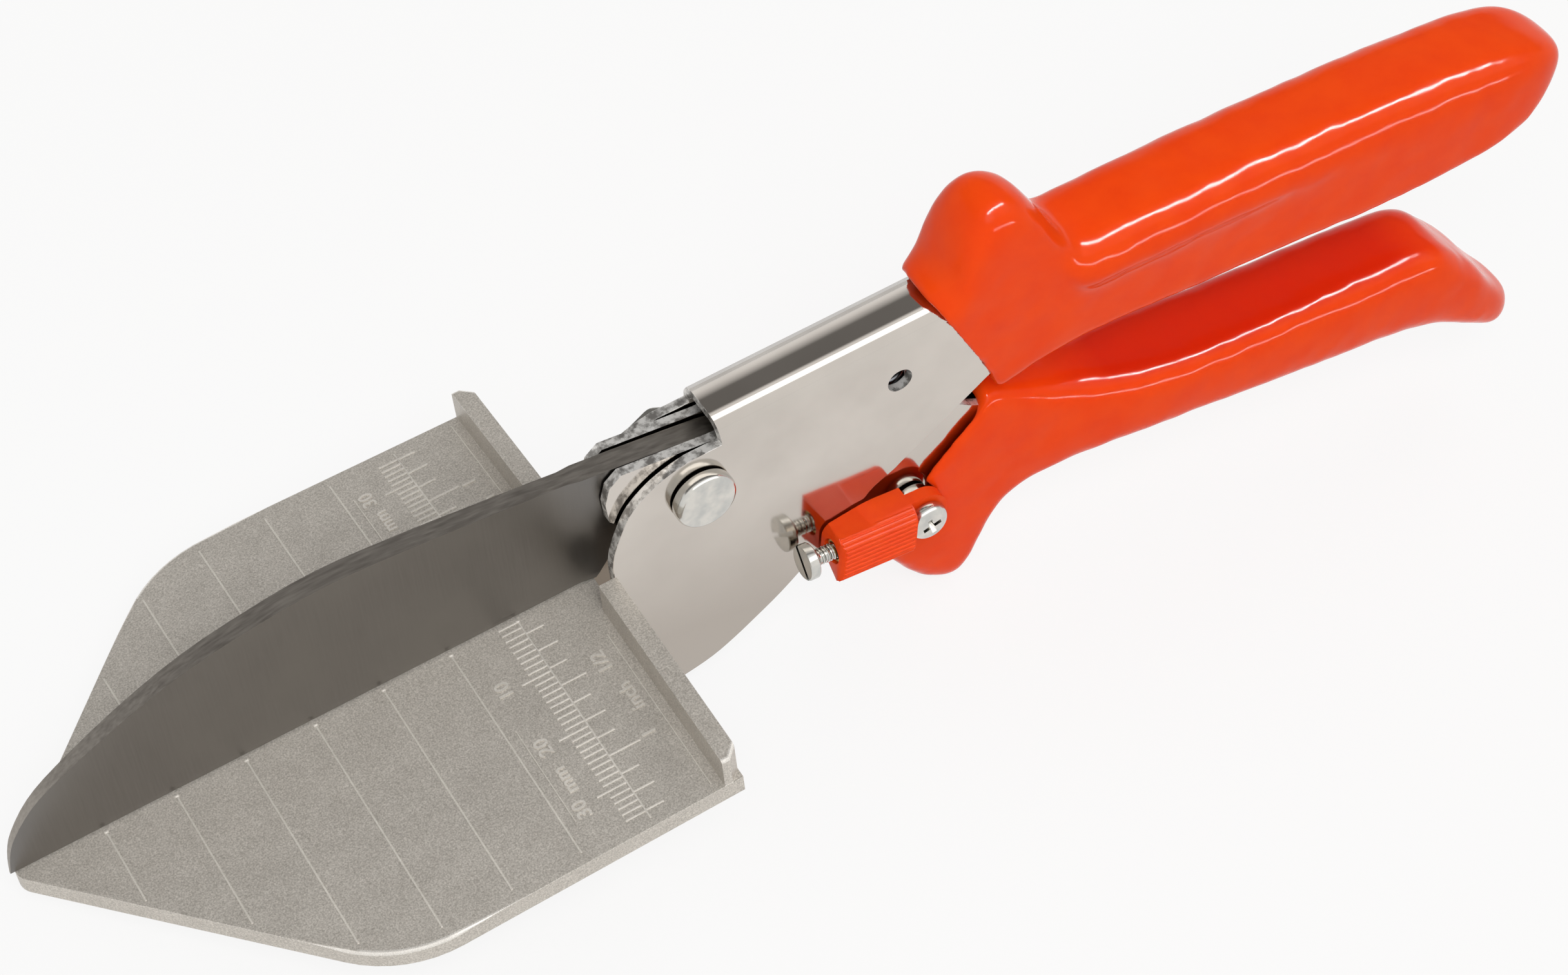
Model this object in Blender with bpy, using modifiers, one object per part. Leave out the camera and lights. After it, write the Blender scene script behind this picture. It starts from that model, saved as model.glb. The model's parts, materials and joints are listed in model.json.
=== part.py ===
# Profile shears: a blade closes on a wide anvil, between two crossed sheet-steel levers with dipped grips.
# The side view is drawn with the ruler line at X = 0, the cutting line at Z = 0 and the handles towards +X.
# The near side, with the bolt head and the latch, is -Y. Lengths are metres.

import math

import bmesh
import bpy
from mathutils import Matrix, Vector

PART_NAME = "profile_shears"
CUTTER_NAME = "profile_shears_cutters"

# Clearances and counts
FIT = 0.0003                # gap between pieces that touch or run on each other
THREAD_FIT = 0.00015        # gap round the small thread and its insert
OVERRUN = 0.003             # how far a cutter reaches past what it cuts
ARC_STEPS = 4               # segments in a fillet of an outline
CURVE_STEPS = 3             # segments between two points of a smooth outline
TURN_STEPS = 28             # sides of a turned piece
HEX_SIDES = 6
RIB_SIDES = 10
TILT_HALVINGS = 40
STEEPEST_TILT_DEGREES = 30
EMPTY_SIZE = 0.01
MERGE = 0.00001             # distance under which two vertices are one

# Blade
BLADE_REACH = 0.073         # ruler line to the tip
BLADE_TAIL = 0.046          # ruler line to the rear end, between the levers
BLADE_DEPTH = 0.0255        # cutting edge to the top of the back
BLADE_THICKNESS = 0.0032
BLADE_EDGE = 0.0004         # thickness left at the cutting edge
BLADE_GRIND = 0.0014        # height of the small second grind at the edge
GRIND_THICKNESS = 0.0008    # thickness at the top of the second grind
HEEL_X = 0.012              # end of the cutting edge
HEEL_RUN = 0.003
HEEL_RISE = 0.005
WEDGE_END_X = 0.010         # where the wedge starts to run out to parallel faces
WEDGE_RUN = 0.008
BLADE_BACK_SHARES = ((-1.0, 0.0), (-0.990, 0.145), (-0.971, 0.271), (-0.926, 0.431), (-0.860, 0.561),
                     (-0.729, 0.749), (-0.595, 0.890), (-0.460, 0.965), (-0.330, 1.0), (-0.181, 0.969),
                     (0.027, 0.894), (0.244, 0.804), (0.419, 0.718))
BLADE_TAIL_SHARES = ((0.72, 0.700), (1.0, 0.420), (1.0, 0.156))

# Pivot
PIVOT_X = 0.0269
PIVOT_Z = 0.0125
PIVOT_SHANK_RADIUS = 0.003
BUSH_WALL = 0.001
PIVOT_HEAD_RADIUS = 0.0045
PIVOT_HEAD_HEIGHT = 0.002
PIVOT_HEAD_ROUND = 0.0006
PIVOT_WASHER_RADIUS = 0.0046
PIVOT_WASHER_THICKNESS = 0.0006
PIVOT_NUT_FLATS = 0.0078
PIVOT_NUT_HEIGHT = 0.0016
PIVOT_END = 0.0003          # thread left proud of the nut

# Blade pins, as shares of the blade's tail and depth
BLADE_PIN_RADIUS = 0.002
UPPER_PIN_SHARES = (0.80, 0.47)
LOWER_PIN_SHARES = (0.90, 0.27)

# Inner lever, a U of sheet steel with its web at the bottom
LEVER_SHEET = 0.0014
LEVER_LENGTH = 0.146        # ruler line to the end of the steel inside the grip
LEVER_RISE = 0.0211         # cutting line to the top of the nose
LEVER_TOP_SHARES = ((0.1030, 0.930), (0.1164, 1.0), (0.2082, 0.906), (0.2329, 0.890), (0.452, 0.123),
                    (0.4747, 0.0), (0.548, -0.308), (0.651, -0.521), (0.753, -0.640), (1.0, -0.834))
LEVER_BOTTOM_SHARES = ((1.0, -1.137), (0.452, -0.853), (0.390, -0.877), (0.301, -0.427), (0.240, -0.047),
                       (0.158, 0.142), (0.116, 0.474), (0.098, 0.635), (0.0970, 0.800))
LEVER_WEB_SHARE = 0.318     # where the web starts, along the lever

# Outer lever, a U of sheet steel with its spine on top
BODY_SHEET = 0.0015
SPINE_HEIGHT = 0.0231
SPINE_ROUND = 0.0033
TANG_LENGTH = 0.150         # ruler line to the end of the steel inside the grip
TANG_KNEE_X = 0.078
TANG_END_TOP = 0.018
TANG_END_BOTTOM = 0.008
MOUTH_X = 0.0309            # front end of the spine
NOSE_HEIGHT = 0.0196
NOSE_FLAT_X = 0.026
NOSE_FRONT_X = 0.0129
NOSE_SHARES = ((0.809, 0.974), (0.618, 0.929), (0.427, 0.852), (0.260, 0.745), (0.130, 0.587),
               (0.038, 0.439), (0.0, 0.316))
WING_SEAT_Z = -0.0034       # upper edge of the cheeks under the anvil
FOOT_FRONT_X = -0.012
CHEEK_LENGTH = 0.072        # ruler line to the end of the cheeks
FOOT_DEPTH = 0.0239
FOOT_SHARES = ((-0.167, -0.356), (-0.056, -0.607), (0.028, -0.816), (0.097, -0.954), (0.167, -1.0),
               (0.222, -0.992), (0.292, -0.967), (0.351, -0.929), (0.400, -0.866), (0.451, -0.782),
               (0.511, -0.674), (0.575, -0.531), (0.639, -0.368), (0.697, -0.252), (0.729, -0.173),
               (0.774, -0.113), (0.794, -0.075), (0.874, 0.063), (0.972, 0.243), (1.0, 0.293))

# Return spring between the spine and the inner lever, seen through a hole in each cheek
SPRING_X = 0.0578
SPRING_RADIUS = 0.0027
SPRING_WIRE = 0.0009
SPRING_TURNS = 5.5
SPRING_TURN_POINTS = 9
SEAT_RADIUS = 0.0032
SEAT_THICKNESS = 0.001
SEAT_CHAMFER = 0.0008       # clears the bend under the spine
SEAT_SPIGOT_RADIUS = 0.0017
SEAT_SPIGOT_HEIGHT = 0.0016
SEAT_TONGUE_LENGTH = 0.005
SEAT_TONGUE_DEPTH = 0.0075
SEAT_PIN_RADIUS = 0.001
SEAT_PIN_DROP = 0.0053      # seat top to the middle of its pin
SIGHT_HOLE_RADIUS = 0.00185
SIGHT_HOLE_Z = 0.0146

# Anvil, a die-casting with two wings that slope down from the cutting line
WING_SLOPE_DEGREES = 4.18
ANVIL_TIP_X = -0.0734
ANVIL_TIP_ROUND = 0.0026
WING_CORNER_X = -0.0365
WING_CORNER_ROUND = 0.019
WING_HALF_WIDTH = 0.038
WING_TAPER = 0.0008         # how much narrower each wing is at its rear end
WING_THICKNESS = 0.0029
WING_REAR_X = 0.0131
WAIST_REAR_X = 0.0119       # rear end of the plate between the fences
FENCE_FRONT_X = 0.0104
FENCE_HEIGHT = 0.0053
FENCE_INNER_Y = 0.0054
FENCE_CHAMFER = 0.0015
RIB_SHARES = ((-0.82, -0.12), (-0.41, -0.42), (-0.16, -0.62), (-0.03, -1.0), (0.125, -1.0), (0.145, -0.12))
RIB_DEPTH = 0.017

# Anvil screws through the cheeks and the rib
ANVIL_SCREW_SHANK_RADIUS = 0.002
ANVIL_SCREW_HEAD_RADIUS = 0.0033
ANVIL_SCREW_HEAD_HEIGHT = 0.002
ANVIL_SCREW_ROUND = 0.0006
ANVIL_SOCKET_FLATS = 0.0025
ANVIL_SOCKET_DEPTH = 0.0012
ANVIL_NUT_FLATS = 0.007
ANVIL_NUT_HEIGHT = 0.0032
ANVIL_SCREW_END = 0.0006
FRONT_SCREW_X = -0.004
FRONT_SCREW_Z = -0.009
REAR_SCREW_X = 0.0062
REAR_SCREW_Z = -0.0130

# Upper grip, with a thumb bump and a rail that overhangs its skirt
UPPER_END_X = 0.1693
UPPER_CREST = 0.0246        # height by which the rail and the underside are drawn
BUMP_CREST = 0.0376
SKIRT_HALF_WIDTH = 0.0065
RAIL_HALF_WIDTH = 0.0083
RAIL_TOP_ROUND = 0.0056
RAIL_STEP_DROP = 0.0069     # crest to the middle of the step
RAIL_STEP_EASE = 0.0007
SKIRT_ROUND = 0.0018
UPPER_RIM_X = 0.072         # lowest point of the rim
UPPER_RIM_Z = 0.0051
UPPER_RIM_LEAN = 0.415      # run forward for each length up
UPPER_STATION_SHARES = (0.376, 0.383, 0.393, 0.399, 0.404, 0.409, 0.415, 0.422, 0.431, 0.444, 0.454, 0.462,
                        0.469, 0.478, 0.485, 0.491, 0.496, 0.502, 0.511, 0.526, 0.567, 0.614, 0.662, 0.709,
                        0.756, 0.803, 0.851, 0.886, 0.921, 0.942, 0.958, 0.972, 0.984, 0.992, 0.997, 1.0)
UPPER_LOW_SHARES = ((0.354, 0.134), (0.425, 0.134), (0.460, 0.183), (0.496, 0.211), (0.526, 0.215),
                    (0.567, 0.195), (0.608, 0.159), (0.650, 0.138), (0.768, 0.138), (0.827, 0.120),
                    (0.886, 0.114), (0.921, 0.142), (0.951, 0.203), (0.975, 0.305), (0.992, 0.390),
                    (1.0, 0.425))
BUMP_SHARES = ((0.354, 0.585), (0.376, 0.665), (0.393, 0.723), (0.403, 0.822), (0.415, 0.920),
               (0.431, 0.992), (0.442, 1.0), (0.454, 0.980), (0.470, 0.920), (0.485, 0.806), (0.496, 0.700),
               (0.508, 0.636))
RAIL_SHARES = ((0.531, 0.963), (0.650, 0.937), (0.803, 0.870), (0.886, 0.809), (0.939, 0.736),
               (0.969, 0.665), (0.989, 0.575), (1.0, 0.480))
RAIL_WIDTH_SHARES = ((0.354, 0.771), (0.479, 0.771), (0.496, 0.880), (0.514, 1.0), (0.886, 1.0),
                     (0.945, 0.952), (0.976, 0.795), (0.992, 0.554), (1.0, 0.289))
SKIRT_WIDTH_SHARES = ((0.354, 0.985), (0.648, 1.0), (0.708, 1.108), (0.769, 1.262), (0.809, 1.277),
                      (1.0, 1.277))

# Lower grip, with a guard bulge in front and a flared end
LOWER_END_X = 0.164
LOWER_DEPTH = 0.0402
LOWER_HALF_WIDTH = 0.008
LOWER_ROUND_SHARE = 0.69
LOWER_STATION_SHARES = (0.326, 0.334, 0.347, 0.356, 0.365, 0.376, 0.385, 0.394, 0.402, 0.411, 0.420, 0.428,
                        0.436, 0.445, 0.455, 0.470, 0.486, 0.506, 0.536, 0.579, 0.623, 0.671, 0.720, 0.768,
                        0.817, 0.865, 0.898, 0.912, 0.926, 0.941, 0.956, 0.970, 0.983, 0.992, 1.0)
LOWER_LOW_SHARES = ((0.314, -0.510), (0.332, -0.577), (0.347, -0.689), (0.365, -0.789), (0.385, -0.846),
                    (0.397, -0.856), (0.409, -0.818), (0.421, -0.734), (0.435, -0.627), (0.454, -0.562),
                    (0.482, -0.542), (0.512, -0.530), (0.540, -0.522), (0.579, -0.525), (0.621, -0.545),
                    (0.748, -0.654), (0.823, -0.711), (0.877, -0.764), (0.923, -0.861), (0.951, -0.935),
                    (0.974, -1.0), (0.988, -0.990), (1.0, -0.930))
LOWER_HIGH_SHARES = ((0.314, 0.060), (0.425, 0.060), (0.433, 0.037), (0.448, 0.025), (0.470, -0.025),
                     (0.500, -0.090), (0.536, -0.139), (0.579, -0.194), (0.653, -0.264), (0.744, -0.303),
                     (0.829, -0.338), (0.898, -0.368), (0.917, -0.448), (0.955, -0.640), (0.971, -0.755),
                     (0.985, -0.826), (1.0, -0.885))
LOWER_WIDTH_SHARES = ((0.314, 0.637), (0.460, 0.637), (0.512, 0.775), (0.561, 0.950), (0.597, 1.0),
                      (0.912, 1.0), (0.956, 0.950), (0.983, 0.800), (1.0, 0.375))
LOWER_RIM_SHARES = ((0.451, 0.120), (0.434, 0.0), (0.399, -0.122), (0.372, -0.221), (0.362, -0.299),
                    (0.332, -0.535), (0.314, -0.700))

# Latch on the near side of the inner lever, with its screws
LATCH_AXIS_SHARES = (0.815, -0.527)  # of the cheeks' length and depth, just under their edge
LATCH_INCLINE_DEGREES = 7.5
LATCH_BLOCK_START = 0.0034
LATCH_BLOCK_END = 0.0155
LATCH_HALF_HEIGHT = 0.0043
LATCH_RISE = 0.0014         # hinge axis up to the middle of the block
LATCH_WIDTH = 0.0054
LATCH_ROUND = 0.0022
LATCH_TOE_ROUND = 0.0025    # lower front corner
LATCH_NOSE_ROUND = 0.0012   # upper front corner
LATCH_NOSE_DROP = 0.002     # fall of the top towards the front
LATCH_NOSE_RUN = 0.0065
LATCH_TONGUE_RADIUS = 0.0038
LATCH_TONGUE_THICKNESS = 0.0019
LATCH_RIB_COUNT = 9
LATCH_RIB_RADIUS = 0.0004
LATCH_RIB_PITCH = 0.00085
LATCH_RIB_SINK = 0.00015
LATCH_SCREW_HEAD_RADIUS = 0.003
LATCH_SCREW_HEAD_HEIGHT = 0.0019
LATCH_SCREW_ROUND = 0.0009
LATCH_SCREW_SHANK_RADIUS = 0.0015
LATCH_WASHER_RADIUS = 0.0028
CROSS_WIDTH = 0.0006
CROSS_LENGTH = 0.003
CROSS_DEPTH = 0.0011
ADJUSTER_RISE = 0.0018      # hinge axis up to the thread's axis
ADJUSTER_HEAD_RADIUS = 0.0026
ADJUSTER_HEAD_HEIGHT = 0.0015
ADJUSTER_HEAD_FACE = 0.0201  # hinge axis to the face of the head
ADJUSTER_SHANK_RADIUS = 0.0012
ADJUSTER_SHANK_END = 0.0076  # hinge axis to the inner end of the thread
ADJUSTER_SLOT_WIDTH = 0.0006
ADJUSTER_SLOT_DEPTH = 0.0008
ADJUSTER_SLOT_DEGREES = 45
ADJUSTER_ROUND = 0.0002
INSERT_WALL = 0.00035
INSERT_LENGTH = 0.004
INSERT_RECESS = 0.0004

# Widths that follow from the stack between the cheeks
LEVER_INNER = BLADE_THICKNESS / 2 + FIT
LEVER_OUTER = LEVER_INNER + LEVER_SHEET
BODY_INNER = LEVER_OUTER + FIT
BODY_OUTER = BODY_INNER + BODY_SHEET
HEAD_SEAT = BODY_OUTER + FIT
BUSH_BORE = PIVOT_SHANK_RADIUS + FIT
BUSH_RADIUS = BUSH_BORE + BUSH_WALL
SPINE_UNDERSIDE = SPINE_HEIGHT - BODY_SHEET
WING_REAR_HALF_WIDTH = WING_HALF_WIDTH - WING_TAPER
LATCH_AXIS_X = LATCH_AXIS_SHARES[0] * CHEEK_LENGTH
LATCH_AXIS_Z = LATCH_AXIS_SHARES[1] * FOOT_DEPTH
LATCH_MIDDLE = HEAD_SEAT + LATCH_WIDTH / 2
INSERT_RADIUS = ADJUSTER_SHANK_RADIUS + THREAD_FIT + INSERT_WALL

# Planes in which outlines are drawn. In the side plane, thickness counts towards the near side.
SIDE = Matrix(((1, 0, 0, 0), (0, 0, -1, 0), (0, 1, 0, 0), (0, 0, 0, 1)))
PLAN = Matrix.Identity(4)


def colour(red, green, blue):
    # linear colour of a screen colour given in 0 to 255
    def linear(value):
        share = value / 255
        return share / 12.92 if share <= 0.04045 else ((share + 0.055) / 1.055) ** 2.4
    return (linear(red), linear(green), linear(blue), 1.0)


def make_material(name, base, roughness, metallic):
    material = bpy.data.materials.new(name)
    material.use_nodes = True
    shader = material.node_tree.nodes["Principled BSDF"]
    shader.inputs["Base Color"].default_value = base
    shader.inputs["Roughness"].default_value = roughness
    shader.inputs["Metallic"].default_value = metallic
    material.diffuse_color = base
    return material


def points_at(shares, length, height):
    # an outline written in shares, at its real size
    return [(along * length, up * height) for along, up in shares]


def smooth(points, steps=CURVE_STEPS):
    # a smooth open line through the points
    result = []
    for index in range(len(points) - 1):
        before = points[max(index - 1, 0)]
        start = points[index]
        end = points[index + 1]
        after = points[min(index + 2, len(points) - 1)]
        for step in range(steps):
            t = step / steps
            result.append(tuple(
                (2 * b + (c - a) * t + (2 * a - 5 * b + 4 * c - d) * t ** 2
                 + (3 * b - a - 3 * c + d) * t ** 3) / 2
                for a, b, c, d in zip(before, start, end, after)))
    result.append(tuple(points[-1]))
    return result


def level(line, x):
    # height at x of an open line that runs from left to right
    if x <= line[0][0]:
        return line[0][1]
    for (x0, z0), (x1, z1) in zip(line, line[1:]):
        if x <= x1:
            return z0 + (z1 - z0) * (x - x0) / (x1 - x0)
    return line[-1][1]


def rounded(corners, steps=ARC_STEPS):
    # a closed outline of (x, y, radius) corners, each corner rounded by its radius
    outline = []
    for index, (x, y, radius) in enumerate(corners):
        corner = Vector((x, y))
        if radius == 0:
            outline.append((x, y))
            continue
        back = (Vector(corners[index - 1][:2]) - corner).normalized()
        ahead = (Vector(corners[(index + 1) % len(corners)][:2]) - corner).normalized()
        half = back.angle(ahead) / 2
        centre = corner + (back + ahead).normalized() * (radius / math.sin(half))
        first = corner + back * (radius / math.tan(half)) - centre
        last = corner + ahead * (radius / math.tan(half)) - centre
        start = math.atan2(first.y, first.x)
        turn = math.atan2(first.cross(last), first.dot(last))
        for step in range(steps + 1):
            angle = start + turn * step / steps
            outline.append((centre.x + radius * math.cos(angle), centre.y + radius * math.sin(angle)))
    return outline


def outline_mesh(name, outline, low, high, place=SIDE):
    # a flat outline given thickness, from low to high along the plane's third axis
    curve = bpy.data.curves.new(name, "CURVE")
    curve.dimensions = "2D"
    curve.fill_mode = "BOTH"
    curve.extrude = (high - low) / 2
    spline = curve.splines.new("POLY")
    spline.points.add(len(outline) - 1)
    for point, (x, y) in zip(spline.points, outline):
        point.co = (x, y, 0, 1)
    spline.use_cyclic_u = True
    holder = bpy.data.objects.new(name + "_outline", curve)
    bpy.context.scene.collection.objects.link(holder)
    graph = bpy.context.evaluated_depsgraph_get()
    mesh = bpy.data.meshes.new_from_object(holder.evaluated_get(graph))
    bpy.data.objects.remove(holder, do_unlink=True)
    bpy.data.curves.remove(curve)
    mesh.name = name
    sheet = bmesh.new()
    sheet.from_mesh(mesh)
    bmesh.ops.remove_doubles(sheet, verts=sheet.verts, dist=MERGE)
    bmesh.ops.translate(sheet, verts=sheet.verts, vec=(0, 0, (low + high) / 2))
    bmesh.ops.transform(sheet, verts=sheet.verts, matrix=place)
    bmesh.ops.recalc_face_normals(sheet, faces=sheet.faces)
    sheet.to_mesh(mesh)
    sheet.free()
    return mesh


def loft_mesh(name, rings):
    # a closed skin over rings of points that have the same count
    skin = bmesh.new()
    rows = [[skin.verts.new(point) for point in ring] for ring in rings]
    count = len(rings[0])
    for row, following in zip(rows, rows[1:]):
        for index in range(count):
            after = (index + 1) % count
            skin.faces.new((row[index], row[after], following[after], following[index]))
    skin.faces.new(rows[0])
    skin.faces.new(rows[-1])
    bmesh.ops.recalc_face_normals(skin, faces=skin.faces)
    bmesh.ops.triangulate(skin, faces=skin.faces)
    mesh = bpy.data.meshes.new(name)
    skin.to_mesh(mesh)
    skin.free()
    return mesh


def drum_mesh(name, radius, low, high, place, sides=TURN_STEPS):
    # a cylinder from low to high along the plane's third axis
    drum = bmesh.new()
    bmesh.ops.create_cone(drum, cap_ends=True, segments=sides, radius1=radius, radius2=radius,
                          depth=high - low)
    bmesh.ops.translate(drum, verts=drum.verts, vec=(0, 0, (low + high) / 2))
    bmesh.ops.transform(drum, verts=drum.verts, matrix=place)
    mesh = bpy.data.meshes.new(name)
    drum.to_mesh(mesh)
    drum.free()
    return mesh


def box_mesh(name, low, high, place=PLAN):
    # a box between two corners
    box = bmesh.new()
    bmesh.ops.create_cube(box, size=1)
    for vert in box.verts:
        vert.co = [a if side < 0 else b for a, b, side in zip(low, high, vert.co)]
    bmesh.ops.transform(box, verts=box.verts, matrix=place)
    mesh = bpy.data.meshes.new(name)
    box.to_mesh(mesh)
    box.free()
    return mesh


def add_piece(name, mesh, material):
    piece = bpy.data.objects.new(name, mesh)
    bpy.data.collections[PART_NAME].objects.link(piece)
    mesh.materials.clear()
    mesh.materials.append(bpy.data.materials[material])
    return piece


def add_cutter(mesh):
    cutter = bpy.data.objects.new(mesh.name, mesh)
    bpy.data.collections[CUTTER_NAME].objects.link(cutter)
    cutter.hide_render = True
    cutter.display_type = "WIRE"
    return cutter


def shape(piece, mesh, operation="DIFFERENCE"):
    # cut, join or keep a piece with another closed mesh
    modifier = piece.modifiers.new(mesh.name, "BOOLEAN")
    modifier.operation = operation
    modifier.solver = "EXACT"
    modifier.object = add_cutter(mesh)


def add_turned(name, profile, place, material, ring=False):
    # a turned piece; the profile of (radius, height) runs down its outer side
    mesh = bpy.data.meshes.new(name)
    count = len(profile)
    edges = [(index, index + 1) for index in range(count - 1)]
    if ring:
        edges.append((count - 1, 0))
    mesh.from_pydata([(radius, 0, height) for radius, height in profile], edges, [])
    piece = add_piece(name, mesh, material)
    piece.matrix_basis = place
    screw = piece.modifiers.new("turn", "SCREW")
    screw.axis = "Z"
    screw.steps = TURN_STEPS
    screw.render_steps = TURN_STEPS
    screw.use_merge_vertices = True
    screw.merge_threshold = MERGE
    screw.use_smooth_shade = True
    return piece


def add_bolt(name, place, head, shank, head_round, material):
    # a round head (radius, underside, top) with a rounded rim on a plain shank (radius, end)
    head_radius, head_low, head_top = head
    shank_radius, shank_end = shank
    profile = [(0, head_top)]
    for step in range(ARC_STEPS + 1):
        angle = math.pi / 2 * (1 - step / ARC_STEPS)
        profile.append((head_radius - head_round + head_round * math.cos(angle),
                        head_top - head_round + head_round * math.sin(angle)))
    profile += [(head_radius, head_low), (shank_radius, head_low), (shank_radius, shank_end), (0, shank_end)]
    return add_turned(name, profile, place, material)


def add_ring(name, place, bore, radius, low, high, material):
    return add_turned(name, [(radius, high), (radius, low), (bore, low), (bore, high)], place, material,
                      ring=True)


def add_hex_nut(name, place, flats, bore, low, high, material):
    nut = add_piece(name, drum_mesh(name, flats / math.sqrt(3), low, high, place, HEX_SIDES), material)
    shape(nut, drum_mesh(name + "_bore", bore, low - OVERRUN, high + OVERRUN, place))
    return nut


def across(x, z):
    # a round piece's place: its axis runs across the levers at x, z
    return Matrix.Translation((x, 0, z)) @ SIDE


def latch_place(third):
    # the latch's own directions: forward to the adjusting screw, up from it, and near
    angle = math.radians(LATCH_INCLINE_DEGREES)
    forward = Vector((-math.cos(angle), 0, math.sin(angle)))
    up = Vector((math.sin(angle), 0, math.cos(angle)))
    near = Vector((0, -1, 0))
    columns = (up, forward, near) if third == "near" else (near, up, forward)
    turn = Matrix(columns).transposed().to_4x4()
    return Matrix.Translation((LATCH_AXIS_X, 0, LATCH_AXIS_Z)) @ turn


def thread_place():
    # the adjusting screw's own directions: near, up and forward along its thread
    return latch_place("forward") @ Matrix.Translation((LATCH_MIDDLE, ADJUSTER_RISE, 0))


def bar_ring(x, half, top, low, radius):
    # one section of a bar with a rounded top
    corners = [(-half, low, 0), (half, low, 0), (half, top, radius), (-half, top, radius)]
    return [(x, y, z) for y, z in rounded(corners)]


def make_upper_body():
    outer_radius = SPINE_ROUND
    inner_radius = SPINE_ROUND - BODY_SHEET
    low = -FOOT_DEPTH - OVERRUN
    spine = ((FOOT_FRONT_X - OVERRUN, SPINE_HEIGHT), (TANG_KNEE_X, SPINE_HEIGHT), (TANG_LENGTH, TANG_END_TOP))
    outer = [bar_ring(x, BODY_OUTER, top, low, outer_radius) for x, top in spine]
    body = add_piece("upper_body", loft_mesh("upper_body", outer), "polished_steel")

    rise = SPINE_HEIGHT + OVERRUN
    foot = points_at(FOOT_SHARES, CHEEK_LENGTH, FOOT_DEPTH)
    nose = points_at(NOSE_SHARES, NOSE_FLAT_X - NOSE_FRONT_X, NOSE_HEIGHT)
    nose = [(NOSE_FRONT_X + x, z) for x, z in nose]
    outline = [(TANG_LENGTH - FIT, rise), (MOUTH_X, rise), (MOUTH_X, NOSE_HEIGHT)]
    outline += smooth([(NOSE_FLAT_X, NOSE_HEIGHT)] + nose)
    outline += [(NOSE_FRONT_X, WING_SEAT_Z), (FOOT_FRONT_X, WING_SEAT_Z)]
    outline += smooth(foot)
    outline += [(TANG_LENGTH - FIT, TANG_END_BOTTOM)]
    reach = BODY_OUTER + OVERRUN
    shape(body, outline_mesh("body_side", outline, -reach, reach), "INTERSECT")

    inside = [(spine[0][0] - OVERRUN, SPINE_UNDERSIDE), (TANG_KNEE_X, SPINE_UNDERSIDE),
              (TANG_LENGTH + OVERRUN, TANG_END_TOP - BODY_SHEET)]
    hollow = [bar_ring(x, BODY_INNER, top, low - OVERRUN, inner_radius) for x, top in inside]
    shape(body, loft_mesh("body_hollow", hollow))
    holes = ((PIVOT_X, PIVOT_Z, BUSH_BORE), (SPRING_X, SIGHT_HOLE_Z, SIGHT_HOLE_RADIUS),
             (FRONT_SCREW_X, FRONT_SCREW_Z, ANVIL_SCREW_SHANK_RADIUS + FIT),
             (REAR_SCREW_X, REAR_SCREW_Z, ANVIL_SCREW_SHANK_RADIUS + FIT))
    for number, (x, z, radius) in enumerate(holes):
        shape(body, drum_mesh("body_hole_%d" % number, radius, -reach, reach, across(x, z)))


def lower_seat_top():
    # the lower spring seat rests on the edges of the inner lever, which slope down towards the rear
    edge = points_at(LEVER_TOP_SHARES, LEVER_LENGTH, LEVER_RISE)
    return level(edge, SPRING_X - SEAT_RADIUS) + FIT + SEAT_THICKNESS


def blade_pin_places():
    return [(along * BLADE_TAIL, up * BLADE_DEPTH) for along, up in (UPPER_PIN_SHARES, LOWER_PIN_SHARES)]


def make_lower_lever():
    top = points_at(LEVER_TOP_SHARES, LEVER_LENGTH, LEVER_RISE)
    bottom = points_at(LEVER_BOTTOM_SHARES, LEVER_LENGTH, LEVER_RISE)
    lever = add_piece("lower_lever", outline_mesh("lower_lever", top + bottom, -LEVER_OUTER, LEVER_OUTER),
                      "polished_steel")
    floor = bottom[::-1]
    web_x = LEVER_WEB_SHARE * LEVER_LENGTH
    depth = min(z for x, z in bottom) - OVERRUN
    rise = LEVER_RISE + OVERRUN
    channel = [(-OVERRUN, depth), (web_x, depth), (web_x, level(floor, web_x) + LEVER_SHEET)]
    channel += [(x, z + LEVER_SHEET) for x, z in floor if x > web_x]
    channel += [(LEVER_LENGTH + OVERRUN, floor[-1][1] + LEVER_SHEET), (LEVER_LENGTH + OVERRUN, rise),
                (-OVERRUN, rise)]
    shape(lever, outline_mesh("lever_channel", channel, -LEVER_INNER, LEVER_INNER))
    holes = [(PIVOT_X, PIVOT_Z, BUSH_RADIUS + FIT),
             (SPRING_X, lower_seat_top() - SEAT_PIN_DROP, SEAT_PIN_RADIUS + FIT),
             (LATCH_AXIS_X, LATCH_AXIS_Z, LATCH_SCREW_SHANK_RADIUS + FIT)]
    holes += [(x, z, BLADE_PIN_RADIUS + FIT) for x, z in blade_pin_places()]
    reach = LEVER_OUTER + OVERRUN
    for number, (x, z, radius) in enumerate(holes):
        shape(lever, drum_mesh("lever_hole_%d" % number, radius, -reach, reach, across(x, z)))


def wedge_ring(x, edge_half, grind_half, back_half):
    # one section of the blade, thin at the edge
    heights = (FIT, FIT + BLADE_GRIND, BLADE_DEPTH + OVERRUN)
    halves = (edge_half, grind_half, back_half)
    near = [(x, -half, z) for half, z in zip(halves, heights)]
    far = [(x, half, z) for half, z in zip(halves, heights)]
    return near + far[::-1]


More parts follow.
